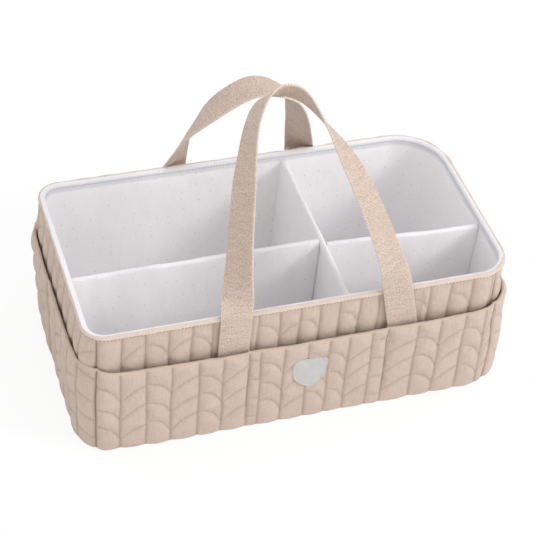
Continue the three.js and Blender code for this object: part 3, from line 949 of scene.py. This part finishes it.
def makeShellPanel(side, seed):
    start, end = shellOutline.span(side)
    if side == "front":
        uprights = [float(shellOutline.runOf(side, x * mm + shell["shift"])) for x in shellUprights]
        runs = [start] + uprights + [end]
        cells = shellCells
    else:
        runs = evenRuns(start, end, shell["pitch"])
        cells = [("fall", "rise", "fall", "plain")[k % 4] for k in range(len(runs) - 1)]
    plan = {"seed": seed, "veinFoot": 0.1030, "low": shell["foot"], "high": shell["top"],
            "sewnTop": shell["top"], "fineFrom": shell["fineFrom"], "coarse": 4,
            "hem": [], "lowest": 0.09, "highest": 0.115, "levels": shellLevels}
    flat, faces, held, uprights, veins = flatPattern(runs, cells, plan)
    moved = swelled("shell" + side, flat, faces, held, shell["swell"])
    lift, folds = quiltedLift(flat, runs, uprights, veins, moved, shell)
    outer = shellShape(side, flat[:, 0] + moved[:, 0], flat[:, 1], lift)
    inner = shellShape(side, flat[:, 0], flat[:, 1], lift, True)
    piece = wrappedPanel("shellPanel" + side.title(), flat, faces, held, folds, outer, inner, False)
    finishPiece(piece, "quilt", "caddy", ["shell_" + side], 70)
    lines = []
    for line in uprights[1:-1] + veins:
        line = line[(line[:, 1] < shell["sewnTo"]) & (line[:, 1] > shell["sewnFrom"])]
        if len(line) < 2:
            continue
        lifted = lineLift(channelCrown(line[:, 0], runs) * shell["crown"], shell)
        under = shellShape(side, line[:, 0], line[:, 1], lifted)
        above = shellShape(side, line[:, 0], line[:, 1], lifted + 0.001)
        normal = above - under + np.column_stack([shellOutline.at(line[:, 0])[1] * 1e-5, np.zeros(len(line))])
        lines.append((under, normal / np.linalg.norm(normal, axis=1)[:, None]))
    sewStitches("shellStitches" + side.title(), lines, "seamThread", seamStitch)
    return len(flat)


for number, side in enumerate(sides):
    print("shell panel", side, makeShellPanel(side, 40 + number), "points")

# the rolled rim binding and its topstitching

# (inset, height) of the ring in mm; inset of the inner points is a share of the binding's width
rim = {"stations": 960, "step": 0.0011, "soft": 0.00025, "fine": 0.00012,
       "outer": [(1.15, 136.6), (1.15, 135.5), (0.5, 135.1), (-0.1, 135.3), (-0.35, 136.1), (-0.3, 137.1),
                 (-0.05, 138.0)],
       "inner": [(0.2, 138.6), (0.45, 138.9), (0.7, 138.95), (0.9, 138.7), (1, 138.2), (0.95, 137.7), (0.75, 137.4)]}
rimOutline = Outline(0)


def bindingWidth(out):
    # how far in the binding reaches: far on the front, little on the left and the rear
    front, rear = np.clip(-out[:, 1], 0, 1) ** 2, np.clip(out[:, 1], 0, 1) ** 2
    left, right = np.clip(-out[:, 0], 0, 1) ** 2, np.clip(out[:, 0], 0, 1) ** 2
    return (3.3 * front + 2.7 * rear + 1.4 * left + 2.6 * right) * mm


def makeRim():
    fixed, scaled = np.array(rim["outer"]) * mm, np.array(rim["inner"])
    count = len(fixed) + len(scaled)
    ringRun = np.arange(count + 1) * rim["step"]
    stations = rim["stations"]

    def shape(column, row):
        j = row % count
        run = rimOutline.length * (column % stations) / stations
        place, out = rimOutline.at(run)
        turn = 2 * np.pi * run / rimOutline.length
        soft = ripples(np.cos(turn) * 0.2, np.sin(turn) * 0.2, 51, 0.03, 0.03)
        fine = ripples(run, ringRun[j], 52, 0.011, 0.02) * (0.5 - 0.5 * np.cos(turn)) ** 0.2
        k = np.maximum(j - len(fixed), 0)
        outer, own = j < len(fixed), fixed[np.minimum(j, len(fixed) - 1)]
        inset = np.where(outer, own[:, 0], scaled[k, 0] * bindingWidth(out))
        height = np.where(outer, own[:, 1], scaled[k, 1] * mm)
        outward = (j > 1) * (j < len(fixed) + 3)
        depth = -inset + (rim["soft"] * soft + rim["fine"] * fine) * outward
        height = height + rim["soft"] * soft * (height > 0.136)
        cloth = np.column_stack([rimOutline.length * column / stations, ringRun[row]])
        return np.column_stack([place + out * depth[:, None], height]), cloth

    piece = shapedGrid("rimBinding", stations, count, shape, True, True)
    finishPiece(piece, "binding", "caddy", ["rim_binding"], 70)


def rimLine(inset, height, facing):
    run = np.linspace(0, rimOutline.length, 1600)
    place, out = rimOutline.at(run)
    points = np.column_stack([place - out * inset, np.full(len(run), height)])
    return points, np.column_stack([out * facing, np.zeros(len(run))])


topStitch = {"pitch": 0.0033, "length": 0.0024, "radius": 0.00034, "lift": 0.00005, "slot": "quilted_cotton"}
innerStitch = {"pitch": 0.0030, "length": 0.0025, "radius": 0.0004, "lift": 0.00005, "slot": "lining_cloth"}
makeRim()
sewStitches("rimTopstitchOuter", [rimLine(-0.00038, 0.1359, 1)], "topThread", topStitch)
sewStitches("rimTopstitchInner", [rimLine(0.00625, 0.1352, -1)], "liningThread", innerStitch)
print("rim bound")

# the lining: four walls and a padded floor

lining = {"inset": 0.0058, "thickness": 0.0006, "foot": 0.0046, "top": 0.1364, "crest": 0.0021, "crestRun": 0.0033,
          "pitch": 0.0022, "rows": 60, "crestRows": 10, "slack": 0.0006, "wave": 0.00035, "crinkle": 0.00012,
          "rollOver": 0.0005}
liningOutline = Outline(lining["inset"])


def makeLining(side):
    start, end = liningOutline.span(side)
    columns, rows, bent = round((end - start) / lining["pitch"]), lining["rows"], lining["crestRows"]

    def shape(column, row):
        run = start + (end - start) * column / columns
        up = lining["foot"] + (lining["top"] - lining["foot"]) * np.minimum(row, rows - bent) / (rows - bent)
        over = np.clip(row - rows + bent, 0, bent) / bent * np.pi / 2
        place, out = liningOutline.at(run)
        free = smooth(up, 0.006, 0.02) * (1 - smooth(up, 0.125, 0.134))
        ends = np.minimum(run - start, end - run)
        free = free * smooth(ends, 0, 0.012)
        wave = (ripples(run, up, 61, 0.045, 0.09) * lining["wave"]
                + ripples(run, up, 62, 0.02, 0.03) * lining["crinkle"])
        roll = lining["inset"] - bindingWidth(out) + lining["rollOver"]
        depth = -(lining["slack"] + wave) * free + roll * (1 - np.cos(over))
        height = up + lining["crest"] * np.sin(over)
        points = np.column_stack([place + out * depth[:, None], height])
        return points, np.column_stack([run, up + 0.003 * over])

    piece = shapedGrid("liningWall" + side.title(), columns, rows, shape)
    applyModifier(piece, "SOLIDIFY", thickness=lining["thickness"], offset=0.0)
    finishPiece(piece, "lining", "caddy", ["lining_" + side], 60)
    end - start


board = {"inset": 0.0042, "gap": 0.0004, "foot": 0.0046, "height": 0.1300, "thickness": 0.0012, "pitch": 0.004,
         "rows": 20}
boardOutline = Outline(board["inset"], 30)


def makeBoard(side):
    # the stiff board inside a wall, between the shell and the lining
    start, end = boardOutline.span(side)
    columns = round((end - start) / board["pitch"])

    def shape(column, row):
        run = start + board["gap"] + (end - start - 2 * board["gap"]) * column / columns
        up = board["foot"] + board["height"] * row / board["rows"]
        place, out = boardOutline.at(run)
        return np.column_stack([place, up]), np.column_stack([run, up])

    piece = shapedGrid("wallBoard" + side.title(), columns, board["rows"], shape)
    applyModifier(piece, "SOLIDIFY", thickness=board["thickness"], offset=0.0)
    finishPiece(piece, "board", "caddy", ["wall_board_" + side], 40)


for side in sides:
    makeLining(side)
    makeBoard(side)


floorPad = {"inset": 0.0064, "foot": 0.0055, "flat": 0.0006, "puff": 0.0009, "rowPitch": 0.0475, "soft": 0.00018,
            "edge": 0.004, "thickness": 0.0008}
baseCover = {"inset": 0.0013, "foot": 0.0004, "turnUp": 0.0010, "soft": 0.00012, "edge": 0.003,
             "thickness": 0.0008}


def roundedEdge(most, width):
    # 0 on the plate's edge, rising like a quarter circle to 1 over the width
    share = np.clip((1 - most) * body["width"] / 2 / width, 0, 1)
    return np.sqrt(1 - (1 - share) ** 2)


def plateGrid(name, inset, columns, rows, height):
    outline = Outline(inset)

    def shape(column, row):
        square = np.column_stack([2 * column / columns - 1, 2 * row / rows - 1])
        most = np.abs(square).max(1)
        angle = np.arctan2(square[:, 1] * body["width"] / 2, square[:, 0] * 0.2)
        ground = np.stack([np.cos(angle), np.sin(angle)], 1) * (most * outline.reach(angle))[:, None]
        return np.column_stack([ground, height(ground, most)]), ground

    return shapedGrid(name, columns, rows, shape)


def makeFloorPad():
    def height(ground, most):
        rows = np.abs(np.sin(np.pi * ground[:, 0] / floorPad["rowPitch"] + 0.4)) ** 0.45
        soft = ripples(ground[:, 0], ground[:, 1], 71, 0.07, 0.07) * floorPad["soft"]
        puffed = floorPad["flat"] + floorPad["puff"] * rows + soft
        return floorPad["foot"] + puffed * roundedEdge(most, floorPad["edge"])

    piece = plateGrid("floorPad", floorPad["inset"], 190, 100, height)
    applyModifier(piece, "SOLIDIFY", thickness=floorPad["thickness"], offset=-1.0)
    finishPiece(piece, "lining", "caddy", ["lining_floor"], 60)


def makeBaseCover():
    def height(ground, most):
        soft = ripples(ground[:, 0], ground[:, 1], 72, 0.06, 0.06) * baseCover["soft"]
        return baseCover["foot"] + baseCover["turnUp"] * (1 - roundedEdge(most, baseCover["edge"])) + soft

    piece = plateGrid("baseCover", baseCover["inset"], 160, 84, height)
    applyModifier(piece, "SOLIDIFY", thickness=baseCover["thickness"], offset=1.0)
    finishPiece(piece, "quilt", "caddy", ["base_cover"], 60)


makeFloorPad()
makeBaseCover()
print("lining and floor laid")

# dividers: white sleeves with soft tops, and the tapes that hold the long ones

divider = {"foot": 0.0073, "top": 0.1318, "thickness": 0.0050, "crossX": 0.0398, "crossHalf": 0.0973,
           "leftY": -0.0190, "rightY": -0.0245, "rightSwing": math.radians(3),
           "pitch": 0.0024, "sag": 0.0005, "wave": 0.0003, "bend": 0.0004}


def dividerRing(thickness, foot, top):
    # (sideways, up) points round the sleeve, close together where it turns
    half = thickness / 2
    side = np.linspace(foot + half, top - half, 34)
    turn = np.linspace(0, np.pi, 11)[1:-1]
    right = [(half, z) for z in side]
    over = [(half * math.cos(t), top - half + half * math.sin(t)) for t in turn]
    left = [(-half, z) for z in side[::-1]]
    under = [(-half * math.cos(t), foot + half - half * math.sin(t)) for t in turn]
    return np.array(right + over + left + under)


def makeDivider(name, startPoint, endPoint, where, nodes, seed):
    foot, top = divider["foot"], divider["top"]
    ring = dividerRing(divider["thickness"], foot, top)
    ringRun = runsOf(np.vstack([ring, ring[:1]]))
    start, end = np.array(startPoint), np.array(endPoint)
    length = np.linalg.norm(end - start)
    way = (end - start) / length
    side = np.array([way[1], -way[0]])
    columns = round(length / divider["pitch"])

    def shape(column, row):
        j = row % len(ring)
        along = length * column / columns
        across, up = ring[j, 0], ring[j, 1]
        free = smooth(np.minimum(along, length - along), 0, 0.01)
        sag = ripples(along, up * 0, seed, 0.09, 1) * divider["sag"] * free * smooth(up, 0.1, top)
        wave = ripples(along, ringRun[j], seed + 1, 0.025, 0.11) * divider["wave"] * free
        bend = ripples(along, up, seed + 2, 0.12, 0.3) * divider["bend"] * free
        across = across + np.sign(across) * wave * (np.abs(across) > 0.001) + bend
        ground = start + np.outer(along, way) + np.outer(across, side)
        return np.column_stack([ground, up + sag]), np.column_stack([along, ringRun[row]])

    piece = shapedGrid(name, columns, len(ring), shape, closedRows=True, filled=True)
    finishPiece(piece, "lining", where, nodes, 60)


tapes = {"thickness": 0.0005, "lift": 0.0003, "hookLift": 0.00085, "foot": 0.0153, "top": 0.1240,
         "loopWidth": 0.0075, "bevel": 0.00015}
wallLeft, wallRight = -0.1970, 0.1920  # the lining's faces
sleeveEnd = 0.0006  # the sleeve runs past its boards, round the hook tapes
dividerEdge = divider["thickness"] / 2
leftStart, leftEnd = wallLeft, divider["crossX"] - dividerEdge
rightStart, rightEnd = divider["crossX"] + dividerEdge, wallRight
rightSlope = -math.tan(divider["rightSwing"])

makeDivider("crossDividerSleeve", (divider["crossX"], -divider["crossHalf"]),
            (divider["crossX"], divider["crossHalf"]), "caddy", ["cross_divider_cover"], 81)
makeDivider("longDividerSleeveLeft", (leftStart + sleeveEnd, divider["leftY"]),
            (leftEnd - sleeveEnd, divider["leftY"]), "left_divider", ["long_divider_left_cover"], 84)
makeDivider("longDividerSleeveRight", (rightStart + sleeveEnd, divider["rightY"] + rightSlope * sleeveEnd),
            (rightEnd - sleeveEnd, divider["rightY"] + rightSlope * (rightEnd - sleeveEnd - rightStart)),
            "right_divider", ["long_divider_right_cover"], 87)


def makeTape(name, x, y, width, material, where, node):
    clearSelection()
    bpy.ops.mesh.primitive_cube_add(size=1, location=(x, y, (tapes["foot"] + tapes["top"]) / 2),
                                    scale=(tapes["thickness"], width, tapes["top"] - tapes["foot"]))
    piece = bpy.context.object
    piece.name = piece.data.name = name
    bpy.ops.object.transform_apply(location=True, rotation=True, scale=True)
    bpy.ops.object.mode_set(mode="EDIT")
    bpy.ops.mesh.bevel(offset=tapes["bevel"], segments=2)
    bpy.ops.mesh.select_all(action="SELECT")
    bpy.ops.mesh.normals_make_consistent(inside=False)
    bpy.ops.object.mode_set(mode="OBJECT")
    finishPiece(piece, material, where, [node])


for label, begin, finish, height, slope in (("left", leftStart, leftEnd, divider["leftY"], 0),
                                            ("right", rightStart, rightEnd, divider["rightY"], rightSlope)):
    for endName, x, way in (("start", begin, 1), ("end", finish, -1)):
        loopX, hookX = x + way * tapes["lift"], x + way * tapes["hookLift"]
        title = label.title() + endName.title()
        makeTape("loopTape" + title, loopX, height + slope * (x - begin), tapes["loopWidth"], "loops", "caddy",
                 f"loop_tape_{label}_{endName}")
        makeTape("hookTape" + title, hookX, height + slope * (hookX - begin), divider["thickness"], "hooks",
                 label + "_divider", f"hook_tape_{label}_{endName}")
print("dividers set")

# webbing handles: each strap is one length, from its sewn foot over the loop to its other foot

# a loop's own curve goes through points: across as a share of half the span, how far the loop reaches in
# and rises, and how far the webbing has turned, in degrees
strap = {"width": 0.029, "thickness": 0.0024, "footZ": 0.040, "sewnY": 0.1057, "loopY": 0.1055, "steps": 22,
         "rumple": 0.00025, "bendFrom": 0.1362, "bendTo": 0.1426}
frontHandle = {"name": "front", "side": -1, "span": 0.1514, "shift": 0.0061, "rise": 0.1688, "reach": 0.090,
               "slips": (0, 0.0228), "start": 0.1393,
               "across": [-1, -0.926, -0.763, -0.601, -0.281, 0.079, 0.463, 0.805, 1],
               "reachShares": [0, 0.22, 0.665, 0.899, 0.973, 0.865, 0.393, 0.05, 0],
               "riseShares": [0, 0.196, 0.605, 0.9305, 1.031, 0.931, 0.668, 0.281, 0],
               "turns": [0, 54, 71, 100, 147, 110, 55, 34, 0]}
rearHandle = {"name": "rear", "side": 1, "span": 0.1290, "shift": -0.0055, "rise": 0.1410, "reach": 0.0555,
              "slips": (0, 0), "start": 0.1200,
              "across": [-1, -0.946, -0.958, -0.654, -0.165, 0.290, 0.591, 1.03, 1],
              "reachShares": [0, -0.099, 0.636, 0.918, 0.949, 0.963, 0.735, -0.15, 0],
              "riseShares": [0, 0.114, 0.602, 0.881, 1.013, 0.957, 0.753, 0.12, 0],
              "turns": [0, 21, 54, 88, 93, 82, 69, 36, 0]}


def curvePoint(points, along):
    # the point and direction of a smooth curve through points, along from 0 to 1
    spots = np.asarray(points, float)
    count = len(spots) - 1
    place = min(along * count, count - 1e-9)
    k = int(place)
    t = place - k
    before = spots[k - 1] if k > 0 else 2 * spots[0] - spots[1]
    after = spots[k + 2] if k + 2 <= count else 2 * spots[count] - spots[count - 1]
    p0, p1, p2, p3 = before, spots[k], spots[k + 1], after
    middle = 0.5 * (2 * p1 + (p2 - p0) * t + (2 * p0 - 5 * p1 + 4 * p2 - p3) * t * t
                    + (3 * p1 - p0 - 3 * p2 + p3) * t ** 3)
    way = 0.5 * ((p2 - p0) + 2 * (2 * p0 - 5 * p1 + 4 * p2 - p3) * t
                 + 3 * (3 * p1 - p0 - 3 * p2 + p3) * t * t)
    return middle, way


def unit(vector):
    return vector / np.linalg.norm(vector)


def handleFrames(handle):
    side = handle["side"]
    ends = []
    for end in (-1, 1):
        slip = handle["slips"][0 if end < 0 else 1]
        frames = []
        for z in np.linspace(strap["footZ"], handle["start"], 40)[:-1]:
            drop = (body["height"] - z) / (body["height"] - strap["footZ"])
            x = handle["shift"] + end * handle["span"] / 2 + slip * drop
            frames.append((np.array([x, side * strap["sewnY"], z]), np.array([1.0, 0, 0]), np.array([0, side, 0.0])))
        ends.append(frames)
    points = [(handle["shift"] + a * handle["span"] / 2, side * (strap["loopY"] - handle["reach"] * r),
               handle["start"] + handle["rise"] * h)
              for a, r, h in zip(handle["across"], handle["reachShares"], handle["riseShares"])]
    stretches = len(points) - 1
    loop = []
    steps = stretches * strap["steps"]
    for i in range(steps + 1):
        along = i / steps
        middle, way = curvePoint(points, along)
        run = unit(way)
        outside = np.array([0, side, 0.0])
        outside = unit(outside - run * (outside @ run))
        upper = unit(np.cross(run, (0, 1, 0)))
        upper = unit(upper - outside * (upper @ outside))
        turn = math.radians(float(curvePoint([(t,) for t in handle["turns"]], along)[0][0]))
        face = outside * math.cos(turn) + upper * math.sin(turn)
        edge = unit(np.cross(run, face))
        level = 1 - float(smooth(min(along, 1 - along) * stretches, 0, 0.5))
        edge = unit(edge * (1 - level) + np.array([-side * np.sign(run[2]), 0, 0]) * level)
        face = unit(face * (1 - level) + np.array([0, side, 0.0]) * level)
        loop.append((middle, edge, face))
    left = [(m, e * loop[0][1][0], f) for m, e, f in ends[0]]
    right = [(m, e * loop[-1][1][0], f) for m, e, f in ends[1]][::-1]
    return left + loop + right


def strapRing():
    # (across, outward) points round the webbing, thinner at its selvedges
    half, thick = strap["width"] / 2, strap["thickness"] / 2
    across = np.array([-1, -0.97, -0.9, -0.75, -0.5, -0.25, 0, 0.25, 0.5, 0.75, 0.9, 0.97, 1]) * half
    depth = thick * np.array([0.35, 0.78, 0.9, 1, 0.98, 1, 0.98, 1, 0.98, 1, 0.9, 0.78, 0.35])
    return np.array(list(zip(across, depth)) + list(zip(across[::-1], -depth[::-1])))


def makeHandle(handle):
    frames = handleFrames(handle)
    middles = np.array([f[0] for f in frames])
    edges = np.array([f[1] for f in frames])
    faces = np.array([f[2] for f in frames])
    run = runsOf(middles)
    ring = strapRing()
    columns = len(frames) - 1

    def shape(column, row):
        j = row % len(ring)
        wave = ripples(run[column], ring[j, 0], 91, 0.05, 0.04) * strap["rumple"]
        outward = ring[j, 1] + wave
        place = middles[column] + edges[column] * ring[j, 0][:, None] + faces[column] * outward[:, None]
        return place, np.column_stack([ring[j, 0], run[column]])

    name = handle["name"]
    piece = shapedGrid("webbingStrap" + name.title(), columns, len(ring), shape, closedRows=True, filled=True)
    nodes = [f"handle_{name}", f"handle_end_{name}_left", f"handle_end_{name}_right"]
    finishPiece(piece, "webbing", None, nodes, 60)
    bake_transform(piece)
    print("strap", name, round(run[-1] * 1000), "mm long")


makeHandle(frontHandle)
makeHandle(rearHandle)

# the blank patch on the front pocket

patch = {"outline": [(-12.6, 78.6), (3, 77.6), (20.2, 75.6), (20.6, 68), (19.4, 55.5), (12.5, 46.5), (5.2, 40.6),
                     (-2.5, 45.6), (-10.6, 51.6), (-13.6, 60), (-14.2, 69)],
         "rings": (1, 0.985, 0.965, 0.94, 0.915, 0.89), "filledTo": 0.87, "sewnAt": 0.905, "spacing": 0.0011,
         "thickness": 0.001, "raised": 0.0011, "hem": 0.0005, "groove": 0.00022, "dome": 0.0003,
         "wrinkle": 0.00016, "behind": 0.0001}
patchStitch = {"pitch": 0.0021, "length": 0.0016, "radius": 0.00024, "lift": 0.00005, "slot": "patch_cloth"}


def roundedOutline(points, rounds=3):
    points = np.array(points)
    for _ in range(rounds):
        after = np.roll(points, -1, axis=0)
        points = np.stack([0.75 * points + 0.25 * after, 0.25 * points + 0.75 * after], 1).reshape(-1, 2)
    return points


def patchBacks(flat):
    # the y of the pressed pocket behind the patch
    run = bandOutline.runOf("front", flat[:, 0])
    pressed = bandShape("front", run, flat[:, 1], np.zeros(len(flat)), bandPlan("front")[2])
    return pressed[:, 1] - patch["behind"]


def makePatch():
    outline = roundedOutline(patch["outline"]) * mm
    middle = outline.mean(0)
    rings = [middle + (outline - middle) * scale for scale in patch["rings"]]
    points, edges = [], []
    for ring in rings:
        first = len(points)
        points.extend(map(tuple, ring))
        edges += [(first + i, first + (i + 1) % len(ring)) for i in range(len(ring))]
    step = patch["spacing"]
    spots = [(a, b) for a in np.arange(-0.016, 0.023, step) for b in np.arange(0.039, 0.081, step)]
    shrunk = middle + (outline - middle) * patch["filledTo"]
    spots = [s for s in spots if insideOf(shrunk, s)]
    result = delaunay_2d_cdt([Vector(p) for p in points + spots], edges, [tuple(range(len(outline)))], 1, 1e-7)
    flat = np.array([tuple(v) for v in result[0]])
    share = np.array([outlineShare(outline, middle, p) for p in flat])
    ring = (np.exp(-((share - 0.955) / 0.03) ** 2) * patch["hem"]
            - np.exp(-((share - patch["sewnAt"]) / 0.018) ** 2) * patch["groove"])
    dome = (1 - share ** 6) * patch["dome"]
    wrinkle = ripples(flat[:, 0], flat[:, 1], 95, 0.016, 0.012) * patch["wrinkle"]
    front = -(patch["raised"] * (1 - np.clip((share - 0.97) / 0.03, 0, 1) ** 2 * 0.8) + ring + dome + wrinkle)
    places = [(a, y + back, b) for (a, b), y, back in zip(flat, front, patchBacks(flat))]
    piece = newPiece("blankPatch", places, laidFaces(flat, result[2]), flat)
    applyModifier(piece, "SOLIDIFY", thickness=patch["thickness"], offset=-1.0)
    finishPiece(piece, "patch", "caddy", ["label_patch"], 60)
    line = middle + (outline - middle) * patch["sewnAt"]
    line = np.vstack([line, line[:1]])
    places = np.column_stack([line[:, 0], patchBacks(line) - 0.0012, line[:, 1]])
    sewStitches("patchStitches", [(places, np.tile([0, -1.0, 0], (len(line), 1)))], "patchThread", patchStitch)


def insideOf(outline, spot):
    x, y = spot
    inside = False
    for (x1, y1), (x2, y2) in zip(outline, np.roll(outline, -1, axis=0)):
        if (y1 > y) != (y2 > y) and x < (x2 - x1) * (y - y1) / (y2 - y1) + x1:
            inside = not inside
    return inside


def outlineShare(outline, middle, spot):
    # how far out a spot lies, from 0 in the middle to 1 on the outline
    way = np.array(spot) - middle
    reach = np.linalg.norm(way)
    if reach < 1e-9:
        return 0.0
    angles = np.arctan2(*(outline - middle).T[::-1])
    order = np.argsort(angles)
    radii = np.linalg.norm(outline - middle, axis=1)[order]
    edge = np.interp(math.atan2(way[1], way[0]), angles[order], radii, period=2 * np.pi)
    return min(reach / edge, 1.0)


makePatch()
print("patch sewn on")

# the boards stay as they are in the frame, with a board's own finish

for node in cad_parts:
    if "board" in node:
        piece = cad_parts[node]
        piece.data.materials.clear()
        piece.data.materials.append(finishes["board"])

# floor, light and camera

stage = {"floorSize": 12, "world": 0.91, "floorGlow": 0.86, "keyPower": 36, "topPower": 6}
photoView = {"place": (-0.43400, -1.05428, 1.17007), "right": (0.94960, -0.30244, 0.08234),
             "up": (0.1531, 0.6766, 0.7202), "forward": (0.27354, 0.67131, -0.68885), "lens": 112.39, "sensor": 36}


def wired(tree, kind, sockets, **settings):
    # a new node, with its settings and the values or links of its sockets
    node = tree.nodes.new(kind)
    for key, value in settings.items():
        setattr(node, key, value)
    for key, value in sockets.items():
        if isinstance(value, bpy.types.NodeSocket):
            tree.links.new(value, node.inputs[key])
        else:
            node.inputs[key].default_value = value
    return node


def makeFloor():
    clearSelection()
    bpy.ops.mesh.primitive_plane_add(size=stage["floorSize"], location=(0, 0, -0.0002))
    floor = bpy.context.object
    floor.name = "paleFloor"
    material = bpy.data.materials.new("paleFloor")
    material.use_nodes = True
    tree = material.node_tree
    tree.nodes.clear()
    path = wired(tree, "ShaderNodeLightPath", {}).outputs
    seen = wired(tree, "ShaderNodeMath", {0: path["Is Camera Ray"], 1: stage["floorGlow"]},
                 operation="MULTIPLY")
    matt = wired(tree, "ShaderNodeBsdfDiffuse", {"Color": (0.93, 0.93, 0.93, 1)})
    glow = wired(tree, "ShaderNodeEmission", {"Color": (1, 1, 1, 1)})
    mix = wired(tree, "ShaderNodeMixShader", {0: seen.outputs[0], 1: matt.outputs[0], 2: glow.outputs[0]})
    wired(tree, "ShaderNodeOutputMaterial", {"Surface": mix.outputs[0]})
    floor.data.materials.append(material)


def makeWorld():
    world = bpy.data.worlds.new("studio")
    scene.world = world
    world.use_nodes = True
    tree = world.node_tree
    back = tree.nodes["Background"]
    back.inputs["Color"].default_value = (1, 1, 1, 1)
    path = wired(tree, "ShaderNodeLightPath", {}).outputs
    seen = wired(tree, "ShaderNodeMath", {0: path["Is Camera Ray"], 1: path["Is Glossy Ray"]},
                 operation="MAXIMUM")
    level = wired(tree, "ShaderNodeMapRange",
                  {"Value": seen.outputs[0], "To Min": stage["world"], "To Max": 1})
    tree.links.new(level.outputs[0], back.inputs["Strength"])


def makeLamp(name, place, target, size, power):
    clearSelection()
    bpy.ops.object.light_add(type="AREA", location=place)
    lamp = bpy.context.object
    lamp.name = name
    lamp.data.size = size
    lamp.data.energy = power
    lamp.rotation_euler = (Vector(target) - Vector(place)).to_track_quat("-Z", "Y").to_euler()


def makeCamera():
    camera = bpy.data.objects.new("photoCamera", bpy.data.cameras.new("photoCamera"))
    scene.collection.objects.link(camera)
    backward = [-part for part in photoView["forward"]]
    turn = Matrix((photoView["right"], photoView["up"], backward)).transposed().to_4x4()
    camera.matrix_world = Matrix.Translation(photoView["place"]) @ turn
    camera.data.lens, camera.data.sensor_width = photoView["lens"], photoView["sensor"]
    camera.data.clip_end = 50
    scene.camera = camera


makeFloor()
makeWorld()
makeLamp("keyLamp", (2.0, -1.5, 1.9), (0, 0, 0.08), 0.9, stage["keyPower"])
makeLamp("topLamp", (-0.3, -0.2, 2.4), (0, 0, 0.08), 2.0, stage["topPower"])
makeCamera()
scene.view_settings.view_transform = "Standard"
print("stage lit")
